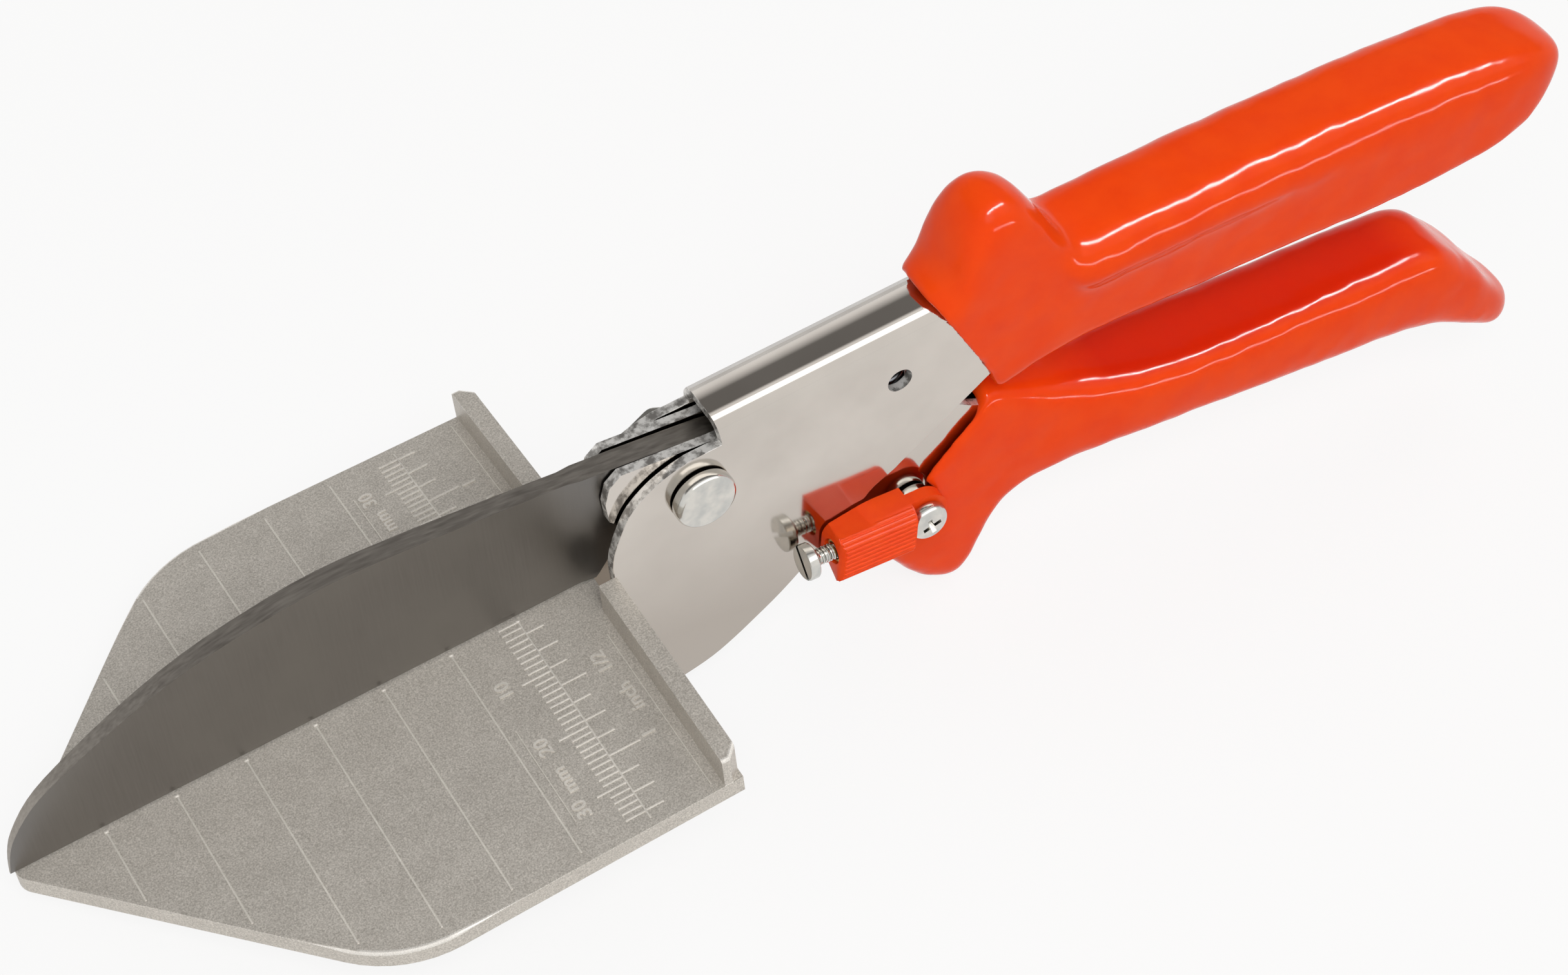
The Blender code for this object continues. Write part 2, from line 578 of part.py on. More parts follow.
def make_blade():
    half = BLADE_THICKNESS / 2
    rings = []
    for x in (-BLADE_REACH - OVERRUN, WEDGE_END_X):
        rings.append(wedge_ring(x, BLADE_EDGE / 2, GRIND_THICKNESS / 2, half))
    for x in (WEDGE_END_X + WEDGE_RUN, BLADE_TAIL + OVERRUN):
        rings.append(wedge_ring(x, half, half, half))
    blade = add_piece("blade", loft_mesh("blade", rings), "blade_steel")
    back = smooth(points_at(BLADE_BACK_SHARES, BLADE_REACH, BLADE_DEPTH))
    tail = points_at(BLADE_TAIL_SHARES, BLADE_TAIL, BLADE_DEPTH)
    outline = [(x, max(z, 0) + FIT) for x, z in back] + tail
    outline += [(HEEL_X + HEEL_RUN, HEEL_RISE), (HEEL_X, 0)]
    reach = half + OVERRUN
    shape(blade, outline_mesh("blade_side", outline, -reach, reach), "INTERSECT")
    holes = [(PIVOT_X, PIVOT_Z, BUSH_RADIUS + FIT)]
    holes += [(x, z, BLADE_PIN_RADIUS + FIT) for x, z in blade_pin_places()]
    for number, (x, z, radius) in enumerate(holes):
        shape(blade, drum_mesh("blade_hole_%d" % number, radius, -reach, reach, across(x, z)))


def make_pivot():
    place = across(PIVOT_X, PIVOT_Z)
    washer_end = HEAD_SEAT + PIVOT_WASHER_THICKNESS
    nut_start = washer_end + FIT
    nut_end = nut_start + PIVOT_NUT_HEIGHT
    add_bolt("pivot_bolt", place, (PIVOT_HEAD_RADIUS, HEAD_SEAT, HEAD_SEAT + PIVOT_HEAD_HEIGHT),
             (PIVOT_SHANK_RADIUS, -nut_end - PIVOT_END), PIVOT_HEAD_ROUND, "bright_zinc")
    add_ring("pivot_bush", place, BUSH_BORE, BUSH_RADIUS, -LEVER_OUTER, LEVER_OUTER, "bronze")
    add_ring("pivot_washer", place, BUSH_BORE, PIVOT_WASHER_RADIUS, -washer_end, -HEAD_SEAT, "bright_zinc")
    add_hex_nut("pivot_nut", place, PIVOT_NUT_FLATS, BUSH_BORE, -nut_end, -nut_start, "bright_zinc")


def make_blade_pins():
    for name, (x, z) in zip(("blade_pin_upper", "blade_pin_lower"), blade_pin_places()):
        pin = drum_mesh(name, BLADE_PIN_RADIUS, -LEVER_OUTER, LEVER_OUTER, across(x, z))
        add_piece(name, pin, "bright_zinc")


def fold(mesh, slope):
    # both wings slope down from the cutting line
    sheet = bmesh.new()
    sheet.from_mesh(mesh)
    bmesh.ops.bisect_plane(sheet, geom=sheet.verts[:] + sheet.edges[:] + sheet.faces[:], dist=MERGE,
                           plane_co=(0, 0, 0), plane_no=(0, 1, 0))
    for vert in sheet.verts:
        vert.co.z -= abs(vert.co.y) * math.tan(slope)
    bmesh.ops.triangulate(sheet, faces=sheet.faces)
    sheet.to_mesh(mesh)
    sheet.free()
    return mesh


def make_anvil():
    slope = math.radians(WING_SLOPE_DEGREES)
    far = [(WING_REAR_X, WING_REAR_HALF_WIDTH, 0), (WING_CORNER_X, WING_HALF_WIDTH, WING_CORNER_ROUND)]
    near = [(x, -y, radius) for x, y, radius in far[::-1]]
    waist = [(WING_REAR_X, -FENCE_INNER_Y, 0), (WAIST_REAR_X, -FENCE_INNER_Y, 0),
             (WAIST_REAR_X, FENCE_INNER_Y, 0), (WING_REAR_X, FENCE_INNER_Y, 0)]
    plan = rounded(far + [(ANVIL_TIP_X, 0, ANVIL_TIP_ROUND)] + near + waist, steps=ARC_STEPS * 2)
    plate = fold(outline_mesh("anvil", plan, -WING_THICKNESS, 0, PLAN), slope)
    anvil = add_piece("anvil", plate, "die_cast")
    for side, name in ((1, "far"), (-1, "near")):
        fence = [(FENCE_FRONT_X, FENCE_INNER_Y), (WING_REAR_X, FENCE_INNER_Y),
                 (WING_REAR_X, WING_REAR_HALF_WIDTH - FENCE_CHAMFER),
                 (WING_REAR_X - FENCE_CHAMFER, WING_REAR_HALF_WIDTH), (FENCE_FRONT_X, WING_REAR_HALF_WIDTH)]
        fence = [(x, side * y) for x, y in fence]
        mesh = outline_mesh("fence_" + name, fence, -WING_THICKNESS / 2, FENCE_HEIGHT, PLAN)
        shape(anvil, fold(mesh, slope), "UNION")
    rib = points_at(RIB_SHARES, -ANVIL_TIP_X, RIB_DEPTH)
    outline = [(rib[-1][0], -WING_THICKNESS / 2), (rib[0][0], -WING_THICKNESS / 2)] + rib
    shape(anvil, outline_mesh("anvil_rib", outline, -LEVER_OUTER, LEVER_OUTER), "UNION")
    reach = LEVER_OUTER + OVERRUN
    for number, (x, z) in enumerate(((FRONT_SCREW_X, FRONT_SCREW_Z), (REAR_SCREW_X, REAR_SCREW_Z))):
        mesh = drum_mesh("anvil_hole_%d" % number, ANVIL_SCREW_SHANK_RADIUS + FIT, -reach, reach, across(x, z))
        shape(anvil, mesh)


def make_anvil_screws():
    nut_end = HEAD_SEAT + ANVIL_NUT_HEIGHT
    head_top = HEAD_SEAT + ANVIL_SCREW_HEAD_HEIGHT
    for name, x, z in (("front", FRONT_SCREW_X, FRONT_SCREW_Z), ("rear", REAR_SCREW_X, REAR_SCREW_Z)):
        place = across(x, z)
        screw = add_bolt("anvil_screw_" + name, place, (ANVIL_SCREW_HEAD_RADIUS, HEAD_SEAT, head_top),
                         (ANVIL_SCREW_SHANK_RADIUS, -nut_end - ANVIL_SCREW_END), ANVIL_SCREW_ROUND,
                         "bright_zinc")
        shape(screw, drum_mesh("socket_" + name, ANVIL_SOCKET_FLATS / math.sqrt(3),
                               head_top - ANVIL_SOCKET_DEPTH, head_top + OVERRUN, place, HEX_SIDES))
        add_hex_nut("anvil_nut_" + name, place, ANVIL_NUT_FLATS, ANVIL_SCREW_SHANK_RADIUS + FIT, -nut_end,
                    -HEAD_SEAT, "bright_zinc")


def make_spring():
    top = SPINE_UNDERSIDE - FIT
    upper = Matrix.Translation((SPRING_X, 0, 0))
    spigot_low = top - SEAT_THICKNESS - SEAT_SPIGOT_HEIGHT
    add_turned("spring_seat_upper", [(0, top), (SEAT_RADIUS - SEAT_CHAMFER, top),
                                     (SEAT_RADIUS, top - SEAT_CHAMFER), (SEAT_RADIUS, top - SEAT_THICKNESS),
                                     (SEAT_SPIGOT_RADIUS, top - SEAT_THICKNESS),
                                     (SEAT_SPIGOT_RADIUS, spigot_low), (0, spigot_low)], upper, "black_plastic")
    low = lower_seat_top()
    spigot_top = low + SEAT_SPIGOT_HEIGHT
    seat = add_turned("spring_seat_lower", [(0, spigot_top), (SEAT_SPIGOT_RADIUS, spigot_top),
                                            (SEAT_SPIGOT_RADIUS, low), (SEAT_RADIUS, low),
                                            (SEAT_RADIUS, low - SEAT_THICKNESS), (0, low - SEAT_THICKNESS)],
                      upper, "black_plastic")
    half = SEAT_TONGUE_LENGTH / 2
    thick = BLADE_THICKNESS / 2
    shape(seat, box_mesh("seat_tongue", (SPRING_X - half, -thick, low - SEAT_TONGUE_DEPTH),
                         (SPRING_X + half, thick, low - SEAT_THICKNESS / 2)), "UNION")
    pin = across(SPRING_X, low - SEAT_PIN_DROP)
    shape(seat, drum_mesh("seat_pin_hole", SEAT_PIN_RADIUS + FIT, -LEVER_OUTER, LEVER_OUTER, pin))
    add_piece("seat_pin", drum_mesh("seat_pin", SEAT_PIN_RADIUS, -LEVER_OUTER, LEVER_OUTER, pin), "bright_zinc")

    start = low + FIT + SPRING_WIRE / 2
    end = top - SEAT_THICKNESS - FIT - SPRING_WIRE / 2
    count = round(SPRING_TURNS * SPRING_TURN_POINTS)
    points = []
    for index in range(count + 1):
        angle = 2 * math.pi * SPRING_TURNS * index / count
        points.append(Vector((SPRING_X + SPRING_RADIUS * math.cos(angle), SPRING_RADIUS * math.sin(angle),
                              start + (end - start) * index / count)))
    curve = bpy.data.curves.new("return_spring", "CURVE")
    curve.dimensions = "3D"
    curve.bevel_depth = SPRING_WIRE / 2
    curve.bevel_resolution = 1
    curve.use_fill_caps = True
    spline = curve.splines.new("POLY")
    spline.points.add(count)
    for point, place in zip(spline.points, points):
        point.co = (*place, 1)
    curve.materials.append(bpy.data.materials["spring_steel"])
    spring = bpy.data.objects.new("return_spring", curve)
    bpy.data.collections[PART_NAME].objects.link(spring)
    gap = min((a - b).length for i, a in enumerate(points) for b in points[i + SPRING_TURN_POINTS // 2:])
    print("return spring: least gap between turns %.2f mm" % ((gap - SPRING_WIRE) * 1000))


def grip_ring(x, low, high, skirt, rail, step_drop, low_round, high_round):
    # one section of a grip: flat underside, rounded foot, flank, step out to the rail, rounded top
    height = high - low
    foot = min(low_round, height / 3, skirt)
    head = min(high_round, height / 3, rail)
    step_z = max(high - step_drop, low + foot + RAIL_STEP_EASE)
    step_top = min(step_z + RAIL_STEP_EASE, high - head)
    step_low = min(max(step_z - RAIL_STEP_EASE, low + foot), step_top)
    half = []
    for step in range(ARC_STEPS + 1):
        angle = math.pi / 2 * (1 - step / ARC_STEPS)
        half.append((skirt - foot + foot * math.cos(angle), low + foot - foot * math.sin(angle)))
    half += [(skirt, step_low), (rail, step_top)]
    for step in range(1, ARC_STEPS + 2):
        angle = math.pi / 2 * step / (ARC_STEPS + 1)
        half.append((rail - head + head * math.cos(angle), high - head + head * math.sin(angle)))
    return [(x, y, z) for y, z in half] + [(x, -y, z) for y, z in half[::-1]]


def make_upper_grip():
    low = smooth(points_at(UPPER_LOW_SHARES, UPPER_END_X, UPPER_CREST))
    bump = points_at(BUMP_SHARES, UPPER_END_X, BUMP_CREST)
    high = smooth(bump + points_at(RAIL_SHARES, UPPER_END_X, UPPER_CREST))
    rail = smooth(points_at(RAIL_WIDTH_SHARES, UPPER_END_X, RAIL_HALF_WIDTH))
    skirt = smooth(points_at(SKIRT_WIDTH_SHARES, UPPER_END_X, SKIRT_HALF_WIDTH))
    rings = []
    for share in UPPER_STATION_SHARES:
        x = share * UPPER_END_X
        rail_half = level(rail, x)
        skirt_half = min(level(skirt, x), rail_half)
        rings.append(grip_ring(x, level(low, x), level(high, x), skirt_half, rail_half, RAIL_STEP_DROP,
                               SKIRT_ROUND, RAIL_TOP_ROUND))
    grip = add_piece("upper_grip", loft_mesh("upper_grip", rings), "orange_grip")
    rise = BUMP_CREST + OVERRUN
    lean_low = (UPPER_RIM_X + UPPER_RIM_LEAN * (UPPER_RIM_Z + OVERRUN), -OVERRUN)
    lean_high = (UPPER_RIM_X - UPPER_RIM_LEAN * (rise - UPPER_RIM_Z), rise)
    front = UPPER_STATION_SHARES[0] * UPPER_END_X - UPPER_RIM_X
    rim = [lean_low, lean_high, (lean_high[0] + front, rise), (lean_high[0] + front, -OVERRUN)]
    reach = RAIL_HALF_WIDTH + OVERRUN
    shape(grip, outline_mesh("upper_rim", rim, -reach, reach))
    tang_low = FOOT_SHARES[-1][1] * FOOT_DEPTH - FIT * 2
    pocket = ((UPPER_RIM_X + front * 2, SPINE_HEIGHT, tang_low), (TANG_KNEE_X, SPINE_HEIGHT, tang_low),
              (TANG_LENGTH, TANG_END_TOP, TANG_END_BOTTOM - FIT))
    rings = [bar_ring(x, BODY_OUTER + FIT, top + FIT, bottom, SPINE_ROUND + FIT) for x, top, bottom in pocket]
    shape(grip, loft_mesh("upper_pocket", rings))


def make_lower_grip():
    low = smooth(points_at(LOWER_LOW_SHARES, LOWER_END_X, LOWER_DEPTH))
    high = smooth(points_at(LOWER_HIGH_SHARES, LOWER_END_X, LOWER_DEPTH))
    width = smooth(points_at(LOWER_WIDTH_SHARES, LOWER_END_X, LOWER_HALF_WIDTH))
    rings = []
    for share in LOWER_STATION_SHARES:
        x = share * LOWER_END_X
        half = level(width, x)
        radius = half * LOWER_ROUND_SHARE
        bottom, top = level(low, x), level(high, x)
        rings.append(grip_ring(x, bottom, top, half, half, (top - bottom) / 2, radius, radius))
    grip = add_piece("lower_grip", loft_mesh("lower_grip", rings), "orange_grip")
    rim = points_at(LOWER_RIM_SHARES, LOWER_END_X, LOWER_DEPTH)
    front = LOWER_STATION_SHARES[0] * LOWER_END_X - OVERRUN
    rim += [(front, rim[-1][1]), (front, rim[0][1])]
    reach = LOWER_HALF_WIDTH + OVERRUN
    shape(grip, outline_mesh("lower_rim", rim, -reach, reach))

    top = [(x, z + FIT) for x, z in points_at(LEVER_TOP_SHARES, LEVER_LENGTH, LEVER_RISE) if x > front]
    bottom = [(x, z - FIT) for x, z in points_at(LEVER_BOTTOM_SHARES, LEVER_LENGTH, LEVER_RISE) if x > front]
    top[-1] = (top[-1][0] + FIT, top[-1][1])
    bottom[0] = (bottom[0][0] + FIT, bottom[0][1])
    pocket = top + bottom + [(front, bottom[-1][1]), (front, top[0][1])]
    shape(grip, outline_mesh("lower_pocket", pocket, -BODY_INNER, BODY_INNER))
    notch = drum_mesh("latch_notch", LATCH_WASHER_RADIUS + FIT, LEVER_OUTER, HEAD_SEAT + OVERRUN,
                      across(LATCH_AXIS_X, LATCH_AXIS_Z))
    shape(grip, notch)
    shape(grip, drum_mesh("latch_screw_hole", LATCH_SCREW_SHANK_RADIUS + FIT, -BODY_INNER, BODY_INNER,
                          across(LATCH_AXIS_X, LATCH_AXIS_Z)))


def make_latch():
    end_place = latch_place("forward")
    near_place = latch_place("near")
    inner = HEAD_SEAT
    outer = HEAD_SEAT + LATCH_WIDTH
    low = LATCH_RISE - LATCH_HALF_HEIGHT
    high = LATCH_RISE + LATCH_HALF_HEIGHT
    section = rounded([(inner, low, 0), (outer, low, LATCH_ROUND), (outer, high, LATCH_ROUND),
                       (inner, high, 0)])
    latch = add_piece("latch", outline_mesh("latch", section, LATCH_BLOCK_START, LATCH_BLOCK_END, end_place),
                      "orange_latch")

    straight = 2 * (LATCH_HALF_HEIGHT - LATCH_ROUND)
    for number in range(LATCH_RIB_COUNT):
        along = LATCH_RIB_PITCH * (number + 1)
        if along < straight:
            near, up = outer - LATCH_RIB_SINK, high - LATCH_ROUND - along
        else:
            angle = (along - straight) / LATCH_ROUND
            radius = LATCH_ROUND - LATCH_RIB_SINK
            near = outer - LATCH_ROUND + radius * math.cos(angle)
            up = low + LATCH_ROUND - radius * math.sin(angle)
        place = end_place @ Matrix.Translation((near, up, 0))
        shape(latch, drum_mesh("latch_rib_%d" % number, LATCH_RIB_RADIUS, LATCH_BLOCK_START + FIT,
                               LATCH_BLOCK_END - FIT, place, RIB_SIDES), "UNION")

    rib_low = low - LATCH_RIB_RADIUS
    side = rounded([(rib_low, LATCH_BLOCK_START, 0), (rib_low, LATCH_BLOCK_END, LATCH_TOE_ROUND),
                    (high - LATCH_NOSE_DROP, LATCH_BLOCK_END, LATCH_NOSE_ROUND),
                    (high, LATCH_BLOCK_END - LATCH_NOSE_RUN, 0), (high, LATCH_BLOCK_START, 0)])
    shape(latch, outline_mesh("latch_side", side, inner - OVERRUN, outer + OVERRUN, near_place), "INTERSECT")
    tongue_end = (LATCH_BLOCK_START + LATCH_BLOCK_END) / 2
    tongue = [(low + LATCH_ROUND, tongue_end), (high - LATCH_ROUND, tongue_end)]
    for step in range(ARC_STEPS * 2 + 1):
        angle = math.pi * step / (ARC_STEPS * 2)
        tongue.append((LATCH_TONGUE_RADIUS * math.cos(angle), -LATCH_TONGUE_RADIUS * math.sin(angle)))
    shape(latch, outline_mesh("latch_tongue", tongue, inner, inner + LATCH_TONGUE_THICKNESS, near_place),
          "UNION")
    thread = thread_place()
    insert_start = LATCH_BLOCK_END - INSERT_RECESS - INSERT_LENGTH
    shape(latch, drum_mesh("thread_bore", ADJUSTER_SHANK_RADIUS + FIT, ADJUSTER_SHANK_END - FIT,
                           LATCH_BLOCK_END + OVERRUN, thread))
    shape(latch, drum_mesh("insert_bore", INSERT_RADIUS + THREAD_FIT, insert_start - THREAD_FIT,
                           LATCH_BLOCK_END + OVERRUN, thread))
    shape(latch, drum_mesh("hinge_hole", LATCH_SCREW_SHANK_RADIUS + FIT, 0, inner + OVERRUN, near_place))


def make_latch_hardware():
    hinge = latch_place("near")
    head_low = HEAD_SEAT + LATCH_TONGUE_THICKNESS + FIT
    head_top = head_low + LATCH_SCREW_HEAD_HEIGHT
    screw = add_bolt("latch_screw", hinge, (LATCH_SCREW_HEAD_RADIUS, head_low, head_top),
                     (LATCH_SCREW_SHANK_RADIUS, -LEVER_OUTER), LATCH_SCREW_ROUND, "bright_zinc")
    for number, (x, y) in enumerate(((CROSS_LENGTH, CROSS_WIDTH), (CROSS_WIDTH, CROSS_LENGTH))):
        shape(screw, box_mesh("cross_%d" % number, (-x / 2, -y / 2, head_top - CROSS_DEPTH),
                              (x / 2, y / 2, head_top + OVERRUN), hinge))
    add_ring("latch_washer", hinge, LATCH_SCREW_SHANK_RADIUS + FIT, LATCH_WASHER_RADIUS, BODY_INNER, BODY_OUTER,
             "bright_zinc")
    place = thread_place()
    face = ADJUSTER_HEAD_FACE
    adjuster = add_bolt("adjusting_screw", place, (ADJUSTER_HEAD_RADIUS, face - ADJUSTER_HEAD_HEIGHT, face),
                        (ADJUSTER_SHANK_RADIUS, ADJUSTER_SHANK_END), ADJUSTER_ROUND, "bright_zinc")
    reach = ADJUSTER_HEAD_RADIUS + OVERRUN
    slot = place @ Matrix.Rotation(math.radians(ADJUSTER_SLOT_DEGREES), 4, "Z")
    shape(adjuster, box_mesh("adjuster_slot", (-ADJUSTER_SLOT_WIDTH / 2, -reach, face - ADJUSTER_SLOT_DEPTH),
                             (ADJUSTER_SLOT_WIDTH / 2, reach, face + OVERRUN), slot))
    insert_end = LATCH_BLOCK_END - INSERT_RECESS
    add_ring("adjusting_insert", place, ADJUSTER_SHANK_RADIUS + THREAD_FIT, INSERT_RADIUS,
             insert_end - INSERT_LENGTH, insert_end, "brass")


def lowest_when_tilted(points, angle):
    return min(z * math.cos(angle) - x * math.sin(angle) for x, z in points)


def standing_tilt():
    # tilt at which the foot of the upper body and the bulge of the lower grip reach down alike
    bpy.context.view_layer.update()
    graph = bpy.context.evaluated_depsgraph_get()
    sides = []
    for name in ("upper_body", "lower_grip"):
        mesh = bpy.data.objects[name].evaluated_get(graph).to_mesh()
        sides.append([(vert.co.x, vert.co.z) for vert in mesh.vertices])
    level_angle, steep = math.radians(-STEEPEST_TILT_DEGREES), 0
    for _ in range(TILT_HALVINGS):
        middle = (level_angle + steep) / 2
        if lowest_when_tilted(sides[0], middle) > lowest_when_tilted(sides[1], middle):
            steep = middle
        else:
            level_angle = middle
    return (level_angle + steep) / 2


def add_empty(name, parent=None, place=None):
    empty = bpy.data.objects.new(name, None)
    bpy.context.scene.collection.objects.link(empty)
    empty.empty_display_size = EMPTY_SIZE
    if place is not None:
        empty.matrix_basis = place
    if parent is not None:
        hang(empty, parent)
    return empty


def hang(child, parent):
    # parent a piece without moving it, while everything is still drawn about the ruler line
    bpy.context.view_layer.update()
    child.parent = parent
    child.matrix_parent_inverse = parent.matrix_world.inverted()


def box_of_part():
    bpy.context.view_layer.update()
    graph = bpy.context.evaluated_depsgraph_get()
    corners = []
    for piece in bpy.data.collections[PART_NAME].objects:
        shaped = piece.evaluated_get(graph)
        mesh = shaped.to_mesh()
        corners += [shaped.matrix_world @ vert.co for vert in mesh.vertices]
        shaped.to_mesh_clear()
    lowest = [min(corner[axis] for corner in corners) for axis in range(3)]
    highest = [max(corner[axis] for corner in corners) for axis in range(3)]
    return lowest, highest


def assemble():
    stand = add_empty("stand")
    pivot = add_empty("pivot_axis", stand, across(PIVOT_X, PIVOT_Z))
    hinge = add_empty("latch_axis", pivot, latch_place("near"))
    thread = add_empty("adjuster_axis", hinge, thread_place())
    carriers = {thread: ("adjusting_screw",), hinge: ("latch", "adjusting_insert"),
                pivot: ("lower_lever", "lower_grip", "blade", "blade_pin_upper", "blade_pin_lower",
                        "pivot_bush", "spring_seat_lower", "seat_pin", "latch_screw", "latch_washer")}
    tilt = standing_tilt()
    everything = list(bpy.data.collections[PART_NAME].objects)
    everything += list(bpy.data.collections[CUTTER_NAME].objects)
    carrier_of = {name: empty for empty, names in carriers.items() for name in names}
    for piece in everything:
        hang(piece, carrier_of.get(piece.name, stand))
    stand.matrix_basis = Matrix.Rotation(tilt, 4, "Y")
    low, high = box_of_part()
    middle = [(a + b) / 2 for a, b in zip(low, high)]
    stand.matrix_basis = Matrix.Translation((-middle[0], -middle[1], -low[2])) @ stand.matrix_basis
    bpy.context.view_layer.update()
    print("tilt %.4f degrees" % math.degrees(tilt))
    for empty in (stand, pivot, hinge, thread):
        spot = empty.matrix_world.translation
        print("%s at %.5f %.5f %.5f" % (empty.name, *spot))
    forward = thread.matrix_world.to_3x3() @ Vector((0, 0, 1))
    print("adjuster direction %.5f %.5f %.5f" % tuple(forward))


def main():
    for existing in list(bpy.data.objects):
        bpy.data.objects.remove(existing, do_unlink=True)
    for name in (PART_NAME, CUTTER_NAME):
        bpy.context.scene.collection.children.link(bpy.data.collections.new(name))
    make_material("polished_steel", colour(202, 196, 188), 0.22, 1.0)
    make_material("blade_steel", colour(108, 106, 103), 0.35, 1.0)
    make_material("die_cast", colour(150, 146, 140), 0.45, 0.9)
    make_material("bright_zinc", colour(205, 207, 210), 0.25, 1.0)
    make_material("spring_steel", colour(120, 122, 126), 0.3, 1.0)
    make_material("bronze", colour(150, 112, 64), 0.4, 1.0)
    make_material("brass", colour(190, 160, 90), 0.35, 1.0)
    make_material("black_plastic", colour(40, 40, 42), 0.5, 0.0)
    make_material("orange_grip", colour(232, 72, 20), 0.3, 0.0)
    make_material("orange_latch", colour(226, 84, 30), 0.45, 0.0)
    make_upper_body()
    make_lower_lever()
    make_blade()
    make_pivot()
    make_blade_pins()
    make_anvil()
    make_anvil_screws()
    make_spring()
    make_upper_grip()
    make_lower_grip()
    make_latch()
    make_latch_hardware()
    assemble()


main()
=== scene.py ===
import json
import math

import bmesh
import bpy
from mathutils import Matrix, Vector


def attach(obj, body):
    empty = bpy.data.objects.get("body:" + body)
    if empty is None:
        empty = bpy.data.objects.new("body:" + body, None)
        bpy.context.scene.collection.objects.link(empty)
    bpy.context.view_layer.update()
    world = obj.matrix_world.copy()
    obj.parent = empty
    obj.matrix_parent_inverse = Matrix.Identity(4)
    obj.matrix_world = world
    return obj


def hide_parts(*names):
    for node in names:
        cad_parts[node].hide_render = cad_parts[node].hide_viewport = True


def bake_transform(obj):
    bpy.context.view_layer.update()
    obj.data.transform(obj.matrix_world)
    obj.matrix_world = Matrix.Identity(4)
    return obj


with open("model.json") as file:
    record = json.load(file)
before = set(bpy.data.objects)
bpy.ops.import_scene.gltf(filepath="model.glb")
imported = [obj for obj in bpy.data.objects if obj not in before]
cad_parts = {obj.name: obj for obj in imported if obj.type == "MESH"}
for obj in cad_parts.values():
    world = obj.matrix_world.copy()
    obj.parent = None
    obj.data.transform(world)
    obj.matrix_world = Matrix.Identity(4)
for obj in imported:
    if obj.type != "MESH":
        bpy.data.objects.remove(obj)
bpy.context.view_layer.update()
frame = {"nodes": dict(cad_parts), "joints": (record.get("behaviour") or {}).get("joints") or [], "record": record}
mm = 0.001

# The shears are drawn with the ruler line at x = 0, the cutting line at z = 0, handles towards +x and the
# near side towards -y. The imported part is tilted: a fence mount gives the turn, the pivot joint the shift.
drawing = {"pivotX": 26.9 * mm, "pivotZ": 12.5 * mm, "latchX": 58.68 * mm, "latchZ": -12.6 * mm,
           "latchIncline": 7.5, "wingSlope": 4.18, "headSeat": 5.4 * mm}


def standPlace():
    mounts = {mount["name"]: mount for mount in frame["record"]["mounts"]}
    axis = mounts["fence_near"]["axis"]
    turn = Matrix.Rotation(math.atan2(axis[2], -axis[0]), 4, "Y")
    pivot = next(joint for joint in frame["joints"] if joint["name"] == "main_pivot")
    shift = Vector(pivot["pos_m"]) - turn @ Vector((drawing["pivotX"], 0, drawing["pivotZ"]))
    return Matrix.Translation(shift) @ turn


stand = standPlace()
toDrawing = stand.inverted()
sideways = Matrix.Rotation(math.pi / 2, 4, "X")      # a round piece's axis turned to point at the near side
print("frame loaded, stand tilted by", round(math.degrees(stand.to_euler().y), 3), "degrees")


# Finishes

class Signal:
    # a number in a material; Python maths on it adds Math nodes
    def __init__(self, finish, socket):
        self.finish = finish
        self.socket = socket

    def __add__(self, other):
        return self.finish.maths("ADD", self, other)

    def __sub__(self, other):
        return self.finish.maths("SUBTRACT", self, other)

    def __rsub__(self, other):
        return self.finish.maths("SUBTRACT", other, self)

    def __mul__(self, other):
        return self.finish.maths("MULTIPLY", self, other)

    __radd__ = __add__
    __rmul__ = __mul__


class Finish:
    def __init__(self, name, **constants):
        self.material = bpy.data.materials.new(name)
        self.material.use_nodes = True
        self.tree = self.material.node_tree
        self.shader = self.tree.nodes["Principled BSDF"]
        for socket, value in constants.items():
            self.feed(self.shader.inputs[socket.replace("_", " ")], value)

    def feed(self, socket, value):
        if isinstance(value, Signal):
            self.tree.links.new(value.socket, socket)
        elif value is not None:
            socket.default_value = value

    def add(self, kind, settings=None, output=0, **inputs):
        node = self.tree.nodes.new("ShaderNode" + kind)
        for key, value in (settings or {}).items():
            setattr(node, key, value)
        # n0, n1 and so on name a socket by its number
        for key, value in inputs.items():
            index = int(key[1:]) if key[0] == "n" and key[1:].isdigit() else key.replace("_", " ")
            self.feed(node.inputs[index], value)
        return Signal(self, node.outputs[output])

    def maths(self, operation, first, second):
        return self.add("Math", {"operation": operation}, n0=first, n1=second)

    def between(self, value, low, high):
        # 0 up to low, 1 from high on
        return self.add("MapRange", {"clamp": True}, Value=value, From_Min=low, From_Max=high)

    def place(self, stretch=(1, 1, 1), turn=0.0):
        # object coordinates turned into the drawing's own directions
        spot = self.add("TexCoord", output=3)
        if turn:
            spot = self.add("Mapping", Vector=spot, Rotation=(0, turn, 0))
        return self.add("Mapping", Vector=spot, Scale=stretch)

    def noise(self, scale, detail=3.0, roughness=0.5, stretch=(1, 1, 1), turn=0.0):
        return self.add("TexNoise", Vector=self.place(stretch, turn), Scale=scale, Detail=detail,
                        Roughness=roughness)

    def blend(self, factor, first, second):
        return self.add("Mix", {"data_type": "RGBA"}, output=2, n0=factor, n6=first, n7=second)

    def bump(self, height, depth, strength=1.0, under=None):
        return self.add("Bump", Height=height, Distance=depth, Strength=strength, Normal=under)

    def wear(self, **links):
        for socket, value in links.items():
            self.feed(self.shader.inputs[socket.replace("_", " ")], value)
        return self.material


def tone(red, green, blue):
    # linear colour of a screen colour given in 0 to 255
    def linear(value):
        share = value / 255
        return share / 12.92 if share <= 0.04045 else ((share + 0.055) / 1.055) ** 2.4
    return (linear(red), linear(green), linear(blue), 1.0)


tilt = -stand.to_euler().y


